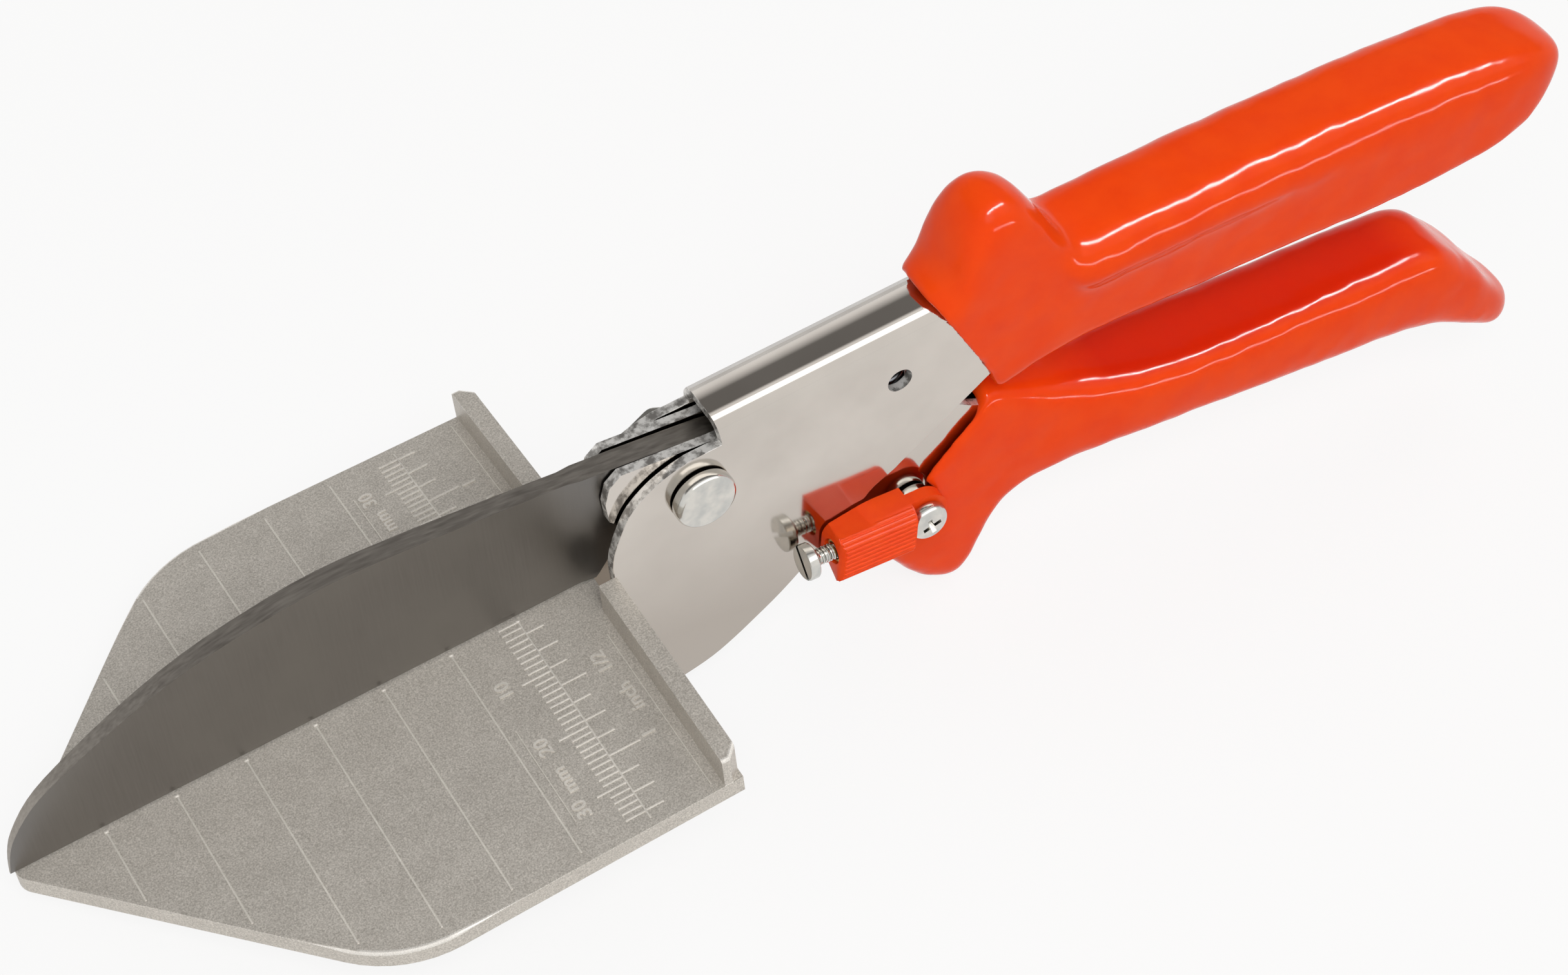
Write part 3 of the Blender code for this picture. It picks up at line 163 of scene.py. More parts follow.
def castFinish(name, dark, light, roughness):
    # tumbled zinc casting: a fine grain with soft clouds on a satin grey
    finish = Finish(name, Metallic=0.45, Specular_IOR_Level=0.3)
    speck = finish.noise(4400, detail=4, roughness=0.75)
    cloud = finish.noise(230, detail=5, roughness=0.65)
    grain = finish.between(speck, 0.34, 0.66)
    patches = finish.between(cloud, 0.36, 0.64)
    low = finish.blend(patches, tone(*[value - 7 for value in dark]), tone(*dark))
    high = finish.blend(patches, tone(*[value - 7 for value in light]), tone(*light))
    pits = finish.noise(1300, detail=3, roughness=0.6)
    return finish.wear(
        Base_Color=finish.blend(grain, low, high),
        Roughness=roughness + 0.14 * grain + 0.03 * patches,
        Normal=finish.bump(speck, 0.02 * mm, 0.4, finish.bump(pits, 0.05 * mm, 0.2)))


polish = {"shadeLow": 12 * mm, "shadeHigh": 36 * mm, "spineCrown": 60.0, "spineLean": 0.05}


def polishedFinish(name="polishedSheet", crown=0.0):
    # buffed nickel-plated sheet: nearly a mirror, with hairlines along the lever, a faint haze and painted shade
    # towards the bottom
    finish = Finish(name, Metallic=1.0)
    hair = finish.noise(4200, detail=2, stretch=(0.02, 1, 1), turn=tilt)
    haze = finish.noise(70, detail=3, roughness=0.55)
    cloud = finish.between(haze, 0.42, 0.7)
    height = finish.add("SeparateXYZ", output=2, Vector=finish.add("TexCoord", output=3))
    # painted shade: the sheet's colour darkens towards the bottom, between the heights shadeLow and shadeHigh
    shade = 1 - finish.between(height, polish["shadeLow"], polish["shadeHigh"])
    bright = finish.blend(cloud, tone(208, 201, 193), tone(199, 192, 184))
    relief = finish.bump(hair, 0.002 * mm, 0.2)
    if crown:
        # the bend leaves the spine crowned across
        offset = finish.add("SeparateXYZ", output=1, Vector=finish.add("TexCoord", output=3))
        relief = finish.bump(-crown * (offset * offset) - polish["spineLean"] * offset, 1.0, 1.0, relief)
    return finish.wear(
        Base_Color=finish.blend(shade, bright, tone(180, 172, 163)),
        Roughness=0.075 + 0.025 * cloud + 0.025 * hair,
        Normal=relief)


def shearedFinish():
    # the press's torn edges, plated bright over a coarse grain; the bright and dark patches are partly painted
    # glints
    finish = Finish("shearedEdge", Metallic=0.6)
    tear = finish.noise(620, detail=4, roughness=0.6)
    grain = finish.between(tear, 0.4, 0.58)
    return finish.wear(
        Base_Color=finish.blend(grain, tone(142, 139, 135), tone(248, 246, 242)),
        Roughness=0.2 + 0.14 * grain,
        Normal=finish.bump(tear, 0.06 * mm, 0.5))


def bladeFinish():
    # hardened ground steel: fine grinding lines across the blade, cloudy from handling
    finish = Finish("groundBlade", Metallic=1.0)
    grind = finish.noise(3200, detail=3, stretch=(1, 0.04, 0.04), turn=tilt)
    cloud = finish.between(finish.noise(45, detail=3), 0.35, 0.65)
    lines = finish.between(grind, 0.3, 0.7)
    return finish.wear(
        Base_Color=finish.blend(cloud, finish.blend(lines, tone(116, 113, 110), tone(122, 119, 116)),
                                tone(127, 124, 120)),
        Roughness=0.30 + 0.04 * lines + 0.06 * cloud,
        Normal=finish.bump(grind, 0.004 * mm, 0.25))


def bladeBackFinish():
    finish = Finish("groundBladeBack", Metallic=1.0)
    grind = finish.noise(2200, detail=4, stretch=(0.08, 1, 1), turn=tilt)
    lines = finish.between(grind, 0.3, 0.7)
    return finish.wear(
        Base_Color=finish.blend(lines, tone(148, 142, 135), tone(173, 167, 159)),
        Roughness=0.44 + 0.1 * lines,
        Normal=finish.bump(grind, 0.015 * mm, 0.45))


def zincFinish():
    finish = Finish("brightZinc", Metallic=1.0)
    cloud = finish.noise(420, detail=3)
    fine = finish.noise(2400, detail=3)
    patches = finish.between(cloud, 0.38, 0.64)
    return finish.wear(
        Base_Color=finish.blend(patches, tone(216, 213, 206), tone(196, 196, 192)),
        Roughness=0.12 + 0.10 * patches,
        Normal=finish.bump(fine, 0.008 * mm, 0.25))


def plainMetalFinish(name, first, second, roughness):
    finish = Finish(name, Metallic=1.0)
    cloud = finish.noise(300, detail=4)
    fine = finish.noise(3000, detail=2)
    patches = finish.between(cloud, 0.35, 0.65)
    return finish.wear(
        Base_Color=finish.blend(patches, tone(*first), tone(*second)),
        Roughness=roughness + 0.1 * patches,
        Normal=finish.bump(fine, 0.01 * mm, 0.3))


def gripFinish():
    # dipped vinyl: deep orange with a faint mottle, glossy, with slow waves left by the dip, and painted shade on
    # the lower grip's top face under the upper grip
    finish = Finish("dippedVinyl", Specular_IOR_Level=0.08)
    mottle = finish.noise(200, detail=3)
    dip = finish.noise(190, detail=1.5)
    fine = finish.noise(2600, detail=2)
    patches = finish.between(mottle, 0.35, 0.68)
    # painted shade: a darker red where the upper grip keeps the light off the lower grip
    paintedShadeShare = 0.8 * finish.add("Attribute", {"attribute_name": "paintedShade"}, output=2)
    colour = finish.blend(patches, tone(244, 74, 16), tone(240, 68, 14))
    return finish.wear(
        Base_Color=finish.blend(paintedShadeShare, colour, tone(206, 30, 12)),
        Roughness=0.11 + 0.04 * patches,
        Normal=finish.bump(fine, 0.003 * mm, 0.2, finish.bump(dip, 0.16 * mm, 0.6)))


def latchFinish():
    finish = Finish("mouldedNylon", Specular_IOR_Level=0.08)
    mottle = finish.noise(380, detail=3)
    fine = finish.noise(4200, detail=3)
    patches = finish.between(mottle, 0.35, 0.65)
    return finish.wear(
        Base_Color=finish.blend(patches, tone(244, 76, 18), tone(240, 70, 15)),
        Roughness=0.36 + 0.1 * patches,
        Normal=finish.bump(fine, 0.02 * mm, 0.4))


def blackFinish():
    finish = Finish("blackNylon", Specular_IOR_Level=0.4)
    fine = finish.noise(3600, detail=3)
    return finish.wear(
        Base_Color=finish.blend(fine, tone(30, 30, 32), tone(46, 46, 48)),
        Roughness=0.45 + 0.12 * fine,
        Normal=finish.bump(fine, 0.02 * mm, 0.4))


finishes = {"polished_steel": polishedFinish(),
            "spine": polishedFinish("polishedSpine", polish["spineCrown"]),
            "sheared_edge": shearedFinish(),
            "blade_steel": bladeFinish(),
            "blade_back": bladeBackFinish(),
            "die_cast": castFinish("tumbledCasting", (172, 166, 157), (230, 224, 215), 0.34),
            "cast_mark": castFinish("rubbedMark", (214, 209, 200), (238, 233, 225), 0.5),
            # worn rim edges, painted brighter for tumbling wear and as a painted highlight along the rims
            "cast_edge": castFinish("wornAndHighlitCastingEdge", (226, 221, 213), (244, 240, 233), 0.18),
            "bright_zinc": zincFinish(),
            "orange_grip": gripFinish(),
            "orange_latch": latchFinish(),
            "black_plastic": blackFinish(),
            "spring_steel": plainMetalFinish("springWire", (150, 152, 156), (118, 120, 124), 0.25),
            "bronze": plainMetalFinish("bushBronze", (160, 120, 68), (136, 98, 54), 0.32),
            "brass": plainMetalFinish("insertBrass", (198, 168, 98), (176, 146, 80), 0.28)}
for part in frame["record"]["subparts"]:
    node = frame["nodes"][part["node"]]
    node.data.materials.clear()
    node.data.materials.append(finishes[part["material_slot"]])
print("finishes made:", len(finishes))


# Modelling helpers

mesh = {"near": 0.02 * mm, "weld": 0.002 * mm, "fineWeld": 0.001 * mm, "flatAngle": 0.6, "quadAngle": 40,
        "quadShape": 60}


def alone(piece):
    bpy.ops.object.select_all(action="DESELECT")
    piece.select_set(True)
    bpy.context.view_layer.objects.active = piece


def pick(piece, kind, test):
    # select the faces, edges or vertices that pass a test, in edit mode
    bpy.ops.mesh.select_mode(type=kind)
    bpy.ops.mesh.select_all(action="DESELECT")
    shape = bmesh.from_edit_mesh(piece.data)
    for part in {"FACE": shape.faces, "EDGE": shape.edges, "VERT": shape.verts}[kind]:
        if test(part):
            part.select_set(True)
    shape.select_flush_mode()
    bmesh.update_edit_mesh(piece.data)


def near(value, target):
    return abs(value - target) < mesh["near"]


def settle(piece, place=None):
    # place the piece, then leave the place in its mesh
    if place is not None:
        piece.matrix_world = place @ piece.matrix_world
    alone(piece)
    bpy.ops.object.transform_apply(location=True, rotation=True, scale=True)
    return piece


def applyAll(piece):
    alone(piece)
    for modifier in list(piece.modifiers):
        bpy.ops.object.modifier_apply(modifier=modifier.name)


def carve(piece, cutter, operation="DIFFERENCE", selfCross=False):
    # join or cut with another closed piece, which is used up
    boolean = piece.modifiers.new("carve", "BOOLEAN")
    boolean.operation = operation
    boolean.solver = "EXACT"
    boolean.use_self = selfCross
    boolean.object = cutter
    applyAll(piece)
    bpy.data.objects.remove(cutter, do_unlink=True)
    return piece


def softenEdges(piece, width, segments=2, angle=30):
    bevel = piece.modifiers.new("soften", "BEVEL")
    bevel.width = width
    bevel.segments = segments
    bevel.limit_method = "ANGLE"
    bevel.angle_limit = math.radians(angle)
    applyAll(piece)


def copyNode(nodeName, pieceName, weld=mesh["weld"], asQuads=False):
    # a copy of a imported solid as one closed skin, of flat faces or of quads
    source = frame["nodes"][nodeName]
    piece = bpy.data.objects.new(pieceName, source.data.copy())
    bpy.context.scene.collection.objects.link(piece)
    alone(piece)
    bpy.ops.object.mode_set(mode="EDIT")
    bpy.ops.mesh.select_mode(type="VERT")
    bpy.ops.mesh.select_all(action="SELECT")
    bpy.ops.mesh.remove_doubles(threshold=weld)
    bpy.ops.mesh.customdata_custom_splitnormals_clear()
    bpy.ops.mesh.select_all(action="SELECT")
    if asQuads:
        bpy.ops.mesh.tris_convert_to_quads(face_threshold=math.radians(mesh["quadAngle"]),
                                           shape_threshold=math.radians(mesh["quadShape"]))
    else:
        bpy.ops.mesh.dissolve_limited(angle_limit=math.radians(mesh["flatAngle"]))
    bpy.ops.object.mode_set(mode="OBJECT")
    return piece


def asMesh(piece):
    # turn a text or a curve into one closed skin
    alone(piece)
    bpy.ops.object.convert(target="MESH")
    bpy.ops.object.mode_set(mode="EDIT")
    bpy.ops.mesh.select_all(action="SELECT")
    bpy.ops.mesh.remove_doubles(threshold=mesh["fineWeld"])
    bpy.ops.object.mode_set(mode="OBJECT")
    return piece


def windWire(name, spots, radius, roundness):
    # a round wire with closed ends along a row of spots
    curve = bpy.data.curves.new(name, "CURVE")
    curve.dimensions = "3D"
    curve.bevel_depth = radius
    curve.bevel_resolution = roundness
    curve.use_fill_caps = True
    spline = curve.splines.new("POLY")
    spline.points.add(len(spots) - 1)
    for point, spot in zip(spline.points, spots):
        point.co = (*spot, 1)
    wire = bpy.data.objects.new(name, curve)
    bpy.context.scene.collection.objects.link(wire)
    return asMesh(wire)


def finishPiece(piece, body, finish, nodeNames, smoothAngle=35):
    piece.data.materials.clear()
    for material in finish if isinstance(finish, list) else [finish]:
        piece.data.materials.append(material)
    alone(piece)
    bpy.ops.object.shade_smooth_by_angle(angle=math.radians(smoothAngle))
    even = piece.modifiers.new("evenShading", "WEIGHTED_NORMAL")
    even.keep_sharp = True
    applyAll(piece)
    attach(piece, body)
    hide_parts(*nodeNames)


# Anvil: softened casting edges and the raised ruler of both wings

casting = {"edgeSoftness": 0.25 * mm, "rimSoftness": 0.5 * mm, "rimClear": 6.0 * mm, "rimAngle": 50,
           "fenceHeight": 5.3 * mm, "wornHighlitDepth": 5.0 * mm, "wornHighlitFacing": (0.25, 0.95)}
ruler = {"lineHalfWidth": 0.14 * mm, "faintHalfWidth": 0.08 * mm, "tickHalfWidth": 0.17 * mm,
         "height": 0.13 * mm, "sink": 0.2 * mm, "roundShare": 0.62, "lineStart": 0.9 * mm,
         "ticks": 35, "tickLength": 2.9 * mm, "tenLength": 4.3 * mm,
         "eighths": 11, "eighth": 3.175 * mm, "eighthLengths": (2.6 * mm, 3.0 * mm, 2.6 * mm, 3.7 * mm),
         "inchLength": 4.6 * mm, "textSize": 2.8 * mm, "textBold": 0.045 * mm,
         "dotRadius": 0.38 * mm, "dotSink": 0.12 * mm, "markEnd": 9.5 * mm, "markShare": 0.7}
# places on a wing in millimetres: where each long line ends, the faint outlines of the die inserts as (along,
# from, to), and the words as (along, out)
lineEnds = {-60: 12.7, -50: 22.8, -40: 32.5, -30: 36.0, -20: 36.0, -10: 36.0, 0: 36.2}
insertLines = ((-8.4, 15.9, 31.7), (9.0, 9.0, 36.0))
wingWords = {"10": (-6.65, 9.5), "20": (-6.5, 19.8), "mm": (-6.5, 25.6), "30": (-6.8, 30.5),
             "1/2": (6.3, 12.4), "inch": (7.0, 19.0), "1": (6.2, 25.1)}


def wingPlace(x, out, side, turn=0.0):
    # a place on a wing: out is the distance from the cutting line, side is -1 for the near wing
    slope = Matrix.Rotation(-side * math.radians(drawing["wingSlope"]), 4, "X")
    return slope @ Matrix.Translation((x, side * out, 0)) @ Matrix.Rotation(turn, 4, "Z")


def aboveWing(spot):
    # height of a drawn spot above the sloping top of the wings
    return spot.z + abs(spot.y) * math.tan(math.radians(drawing["wingSlope"]))


def addRidge(start, end, halfWidth, side):
    # a low rounded bar on a wing between two (x, out) points
    along = Vector((end[0] - start[0], side * (end[1] - start[1])))
    depth = ruler["height"] + ruler["sink"]
    bpy.ops.mesh.primitive_cube_add(size=1)
    bar = bpy.context.object
    bar.scale = (along.length + halfWidth, 2 * halfWidth, depth)
    bpy.ops.object.transform_apply(location=False, rotation=False, scale=True)
    bpy.ops.object.mode_set(mode="EDIT")
    pick(bar, "EDGE", lambda edge: all(v.co.z > 0 for v in edge.verts))
    bpy.ops.mesh.bevel(offset=halfWidth * ruler["roundShare"], segments=2, affect="EDGES", clamp_overlap=True)
    bpy.ops.object.mode_set(mode="OBJECT")
    middle = ((start[0] + end[0]) / 2, (start[1] + end[1]) / 2)
    lift = Matrix.Translation((0, 0, (ruler["height"] - ruler["sink"]) / 2))
    bar.matrix_world = wingPlace(middle[0], middle[1], side, math.atan2(along.y, along.x)) @ lift
    return bar


def addDot(x, out, side):
    # the small raised dot where a long line begins
    bpy.ops.mesh.primitive_uv_sphere_add(segments=16, ring_count=8, radius=ruler["dotRadius"])
    dot = bpy.context.object
    dot.matrix_world = wingPlace(x, out, side) @ Matrix.Translation((0, 0, -ruler["dotSink"]))
    return dot


def addWingText(words, x, out, side):
    bpy.ops.object.text_add()
    text = bpy.context.object
    text.data.body = words
    text.data.size = ruler["textSize"]
    text.data.align_x = "CENTER"
    text.data.align_y = "CENTER"
    text.data.offset = ruler["textBold"]
    text.data.extrude = (ruler["height"] + ruler["sink"]) / 2
    text.data.resolution_u = 3
    asMesh(text)
    lift = Matrix.Translation((0, 0, (ruler["height"] - ruler["sink"]) / 2))
    text.matrix_world = wingPlace(x, out, side, math.pi / 2) @ lift
    return text


def joinAll(pieces, name):
    for piece in pieces:
        settle(piece)
    bpy.ops.object.select_all(action="DESELECT")
    for piece in pieces:
        piece.select_set(True)
    bpy.context.view_layer.objects.active = pieces[0]
    bpy.ops.object.join()
    pieces[0].name = name
    return pieces[0]


def rubRims(anvil):
    # round the upper rims of the wings and the fences, where tumbling wears a casting first
    def onRim(edge):
        spots = [toDrawing @ vert.co for vert in edge.verts]
        heights = [aboveWing(spot) for spot in spots]
        onWing = all(near(height, 0) and spot.x < ruler["markEnd"] for height, spot in zip(heights, spots))
        onFence = all(near(height, casting["fenceHeight"]) for height in heights)
        clear = all(abs(spot.y) > casting["rimClear"] for spot in spots)
        sharp = len(edge.link_faces) == 2 and edge.calc_face_angle(0) > math.radians(casting["rimAngle"])
        return (onWing or onFence) and clear and sharp

    alone(anvil)
    bpy.ops.object.mode_set(mode="EDIT")
    pick(anvil, "EDGE", onRim)
    bpy.ops.mesh.bevel(offset=casting["rimSoftness"], segments=3, affect="EDGES", clamp_overlap=True)
    bpy.ops.object.mode_set(mode="OBJECT")


def makeAnvil():
    anvil = copyNode("anvil", "anvilCasting")
    rubRims(anvil)
    softenEdges(anvil, casting["edgeSoftness"], segments=3, angle=40)
    marks = []
    for side in (-1, 1):
        for x, out in lineEnds.items():
            start = ruler["lineStart"]
            marks.append(addRidge((x * mm, start), (x * mm, out * mm), ruler["lineHalfWidth"], side))
            marks.append(addDot(x * mm, start, side))
        for count in range(1, ruler["ticks"] + 1):
            length = ruler["tenLength"] if count % 10 == 0 else ruler["tickLength"]
            marks.append(addRidge((0, count * mm), (-length, count * mm), ruler["tickHalfWidth"], side))
        for count in range(1, ruler["eighths"] + 1):
            length = ruler["inchLength"] if count == 8 else ruler["eighthLengths"][(count - 1) % 4]
            out = count * ruler["eighth"]
            marks.append(addRidge((0, out), (length, out), ruler["tickHalfWidth"], side))
        for x, first, last in insertLines:
            marks.append(addRidge((x * mm, first * mm), (x * mm, last * mm), ruler["faintHalfWidth"], side))
        for words, (x, out) in wingWords.items():
            marks.append(addWingText(words, x * mm, out * mm, side))
    marks = settle(joinAll(marks, "rulerMarks"), stand)
    carve(anvil, marks, "UNION", selfCross=True)
    looks = [finishes[name] for name in ("die_cast", "cast_edge", "cast_mark")]
    finishPiece(anvil, "frame_lever", looks, ["anvil"], smoothAngle=26)
    steep, level = casting["wornHighlitFacing"]
    for face in anvil.data.polygons:
        spot = toDrawing @ face.center
        raised = abs(aboveWing(spot) - ruler["height"]) < ruler["height"] * ruler["markShare"]
        mark = raised and spot.x < ruler["markEnd"]
        # faces near the top that look between up and sideways: tumbling wear plus a painted highlight
        wornAndHighlit = spot.z > -casting["wornHighlitDepth"] and steep < (toDrawing.to_3x3() @ face.normal).z < level
        face.material_index = 2 if mark else 1 if wornAndHighlit else 0
    print("anvil made:", len(anvil.data.polygons), "faces")


makeAnvil()


# Sheet-metal levers and blade: copies of the solids with edges eased as the press and the buffing leave them

sheets = {"upper_body": ("cheekShell", "frame_lever", 0.22 * mm),
          "lower_lever": ("nestedLever", "blade_lever", 0.2 * mm)}
sheetLook = {"spineStart": 30.95 * mm, "spineLow": 19.0 * mm, "spineFacing": 0.3, "edgeFacing": 0.5}


def makeSheets():
    for nodeName, (pieceName, body, softness) in sheets.items():
        shell = copyNode(nodeName, pieceName)
        softenEdges(shell, softness)
        looks = [finishes[name] for name in ("polished_steel", "sheared_edge", "spine")]
        finishPiece(shell, body, looks, [nodeName])
        for face in shell.data.polygons:
            spot = toDrawing @ face.center
            upward = (toDrawing.to_3x3() @ face.normal).z > sheetLook["spineFacing"]
            behind = spot.x > sheetLook["spineStart"] and spot.z > sheetLook["spineLow"]
            if nodeName == "upper_body" and behind and upward:
                face.material_index = 2
            elif abs(face.normal.y) < sheetLook["edgeFacing"]:
                face.material_index = 1
        print(pieceName, "made:", len(shell.data.polygons), "faces")


bladeLook = {"edgeSoftness": 0.12 * mm, "backLean": 0.35, "backFacing": 0.1}


def makeBlade():
    blade = copyNode("blade", "shearBlade")
    softenEdges(blade, bladeLook["edgeSoftness"])
    looks = [finishes["blade_steel"], finishes["blade_back"]]
    finishPiece(blade, "blade_lever", looks, ["blade"])
    for face in blade.data.polygons:
        facing = toDrawing.to_3x3() @ face.normal
        if abs(facing.y) < bladeLook["backLean"] and facing.z > bladeLook["backFacing"]:
            face.material_index = 1
    print("blade made:", len(blade.data.polygons), "faces")


makeSheets()
makeBlade()


# Fasteners

def addDrum(name, radius, low, high, sides=96):
    bpy.ops.mesh.primitive_cylinder_add(vertices=sides, radius=radius, depth=high - low,
                                        location=(0, 0, (low + high) / 2))
    drum = bpy.context.object
    drum.name = name
    return settle(drum)


def roundRim(piece, height, radius, width, segments=6):
    # bevel the rim that lies at a height and radius
    alone(piece)
    bpy.ops.object.mode_set(mode="EDIT")
    pick(piece, "EDGE", lambda edge: all(
        abs(v.co.z - height) < 0.01 * mm and abs(math.hypot(v.co.x, v.co.y) - radius) < 0.02 * mm
        for v in edge.verts))
    bpy.ops.mesh.bevel(offset=width, segments=segments, affect="EDGES", profile=0.5)
    bpy.ops.object.mode_set(mode="OBJECT")


def across(x, z):
    # the place of a round piece that runs across the shears
    return stand @ Matrix.Translation((x, 0, z)) @ sideways


def latchPlace(third):
    # the latch hinge's place, with a round piece's axis turned to the near side or forward
    angle = math.radians(drawing["latchIncline"])
    forward = Vector((-math.cos(angle), 0, math.sin(angle)))
    up = Vector((math.sin(angle), 0, math.cos(angle)))
    nearSide = Vector((0, -1, 0))
    columns = (up, forward, nearSide) if third == "near" else (nearSide, up, forward)
    turn = Matrix(columns).transposed().to_4x4()
    return stand @ Matrix.Translation((drawing["latchX"], 0, drawing["latchZ"])) @ turn


bolt = {"headRadius": 4.5 * mm, "headHeight": 2.0 * mm, "rim": 1.0 * mm, "shankRadius": 3.0 * mm,
        "shankEnd": -8.2 * mm, "underRim": 0.15 * mm}


def makePivotBolt():
    seat = drawing["headSeat"]
    top = seat + bolt["headHeight"]
    head = addDrum("pivotHead", bolt["headRadius"], seat, top)
    roundRim(head, top, bolt["headRadius"], bolt["rim"])
    roundRim(head, seat, bolt["headRadius"], bolt["underRim"], 2)
    shank = addDrum("pivotShank", bolt["shankRadius"], bolt["shankEnd"], seat + bolt["headHeight"] / 2, 64)
    roundRim(shank, bolt["shankEnd"], bolt["shankRadius"], bolt["underRim"], 1)
    carve(head, shank, "UNION")
    settle(head, across(drawing["pivotX"], drawing["pivotZ"]))
    finishPiece(head, "frame_lever", finishes["bright_zinc"], ["pivot_bolt"])


def makeNut(name, nodeName, place, flats, bore, low, high):
    # a hex nut, chamfered on both faces
    corner = flats / math.sqrt(3)
    nut = addDrum(name, corner, low, high, 6)
    chamfer = addDrum("nutChamfer", corner, low, high, 72)
    roundRim(chamfer, low, corner, nutLook["chamfer"], 2)
    roundRim(chamfer, high, corner, nutLook["chamfer"], 2)
    carve(nut, chamfer, "INTERSECT")
    carve(nut, addDrum("nutBore", bore, low - mm, high + mm, 48))
    settle(nut, place)
    finishPiece(nut, "frame_lever", finishes["bright_zinc"], [nodeName])


def makeWasher(name, nodeName, body, place, radius, bore, low, high):
    washer = addDrum(name, radius, low, high, 96)
    roundRim(washer, low, radius, nutLook["washerRim"], 2)
    roundRim(washer, high, radius, nutLook["washerRim"], 2)
    carve(washer, addDrum("washerBore", bore, low - mm, high + mm, 64))
    settle(washer, place)
    finishPiece(washer, body, finishes["bright_zinc"], [nodeName])


nutLook = {"chamfer": 0.32 * mm, "washerRim": 0.12 * mm}
pivotNut = {"flats": 7.8 * mm, "bore": 3.05 * mm, "low": -7.9 * mm, "high": -6.3 * mm,
            "washerRadius": 4.6 * mm, "washerLow": -6.0 * mm}
anvilScrew = {"places": {"front": (-4.0 * mm, -9.0 * mm), "rear": (6.2 * mm, -13.0 * mm)},
              "headRadius": 3.3 * mm, "headHeight": 2.0 * mm, "rim": 0.5 * mm, "shankRadius": 2.0 * mm,
              "socketFlats": 2.5 * mm, "socketDepth": 1.2 * mm, "nutFlats": 7.0 * mm, "nutHeight": 3.2 * mm,
              "past": 0.6 * mm, "endChamfer": 0.35 * mm, "nutClearance": 0.05 * mm}


def makeAnvilScrews():
    seat = drawing["headSeat"]
    top = seat + anvilScrew["headHeight"]
    nutEnd = -seat - anvilScrew["nutHeight"]
    for name, (x, z) in anvilScrew["places"].items():
        screw = addDrum("anvilScrew" + name.capitalize(), anvilScrew["headRadius"], seat, top)
        roundRim(screw, top, anvilScrew["headRadius"], anvilScrew["rim"])
        roundRim(screw, seat, anvilScrew["headRadius"], bolt["underRim"], 2)
        end = nutEnd - anvilScrew["past"]
        shank = addDrum("anvilShank", anvilScrew["shankRadius"], end, seat + anvilScrew["headHeight"] / 3, 64)
        roundRim(shank, end, anvilScrew["shankRadius"], anvilScrew["endChamfer"], 1)
        carve(screw, shank, "UNION")
        socketRadius = anvilScrew["socketFlats"] / math.sqrt(3)
        carve(screw, addDrum("hexSocket", socketRadius, top - anvilScrew["socketDepth"], top + mm, 6))
        settle(screw, across(x, z))
        finishPiece(screw, "frame_lever", finishes["bright_zinc"], ["anvil_screw_" + name])
        makeNut("anvilNut" + name.capitalize(), "anvil_nut_" + name, across(x, z), anvilScrew["nutFlats"],
                anvilScrew["shankRadius"] + anvilScrew["nutClearance"], nutEnd, -seat)


makePivotBolt()
makeNut("pivotNut", "pivot_nut", across(drawing["pivotX"], drawing["pivotZ"]),
        pivotNut["flats"], pivotNut["bore"], pivotNut["low"], pivotNut["high"])
makeWasher("pivotWasher", "pivot_washer", "frame_lever", across(drawing["pivotX"], drawing["pivotZ"]),
           pivotNut["washerRadius"], pivotNut["bore"], pivotNut["washerLow"], -drawing["headSeat"])
makeAnvilScrews()
print("bolts, nuts and washer made")


# Latch with its screws

latch = {"start": 3.4 * mm, "end": 15.5 * mm, "halfHeight": 4.3 * mm, "rise": 1.4 * mm, "width": 5.4 * mm,
         "round": 2.2 * mm, "toeRound": 3.8 * mm, "noseRound": 1.2 * mm, "kneeRound": 1.6 * mm,
         "noseDrop": 2.0 * mm, "noseRun": 6.5 * mm, "tongueRadius": 3.8 * mm, "tongueThickness": 1.9 * mm,
         "bridgeLow": -2.7 * mm, "bridgeHigh": 3.7 * mm, "ribCount": 12, "frontRound": 1.6 * mm,
         "ribRadius": 0.42 * mm, "ribPitch": 0.85 * mm, "ribFirst": 1.2, "ribSink": 0.24 * mm,
         "ribInset": 0.25 * mm, "screwHole": 1.8 * mm, "threadRise": 1.8 * mm, "threadBore": 1.5 * mm,
         "threadDepth": 8.2 * mm, "insertBore": 1.85 * mm, "insertDepth": 4.6 * mm}


def addBlock(name, low, high):
    # a box between two corners
    bpy.ops.mesh.primitive_cube_add(size=1)
    block = bpy.context.object
    block.name = name
    block.scale = [b - a for a, b in zip(low, high)]
    block.location = [(a + b) / 2 for a, b in zip(low, high)]
    return settle(block)


def bevelWhere(piece, test, width, segments):
    alone(piece)
    bpy.ops.object.mode_set(mode="EDIT")
    pick(piece, "EDGE", lambda edge: all(test(v.co) for v in edge.verts))
    bpy.ops.mesh.bevel(offset=width, segments=segments, affect="EDGES", profile=0.5)
    bpy.ops.object.mode_set(mode="OBJECT")


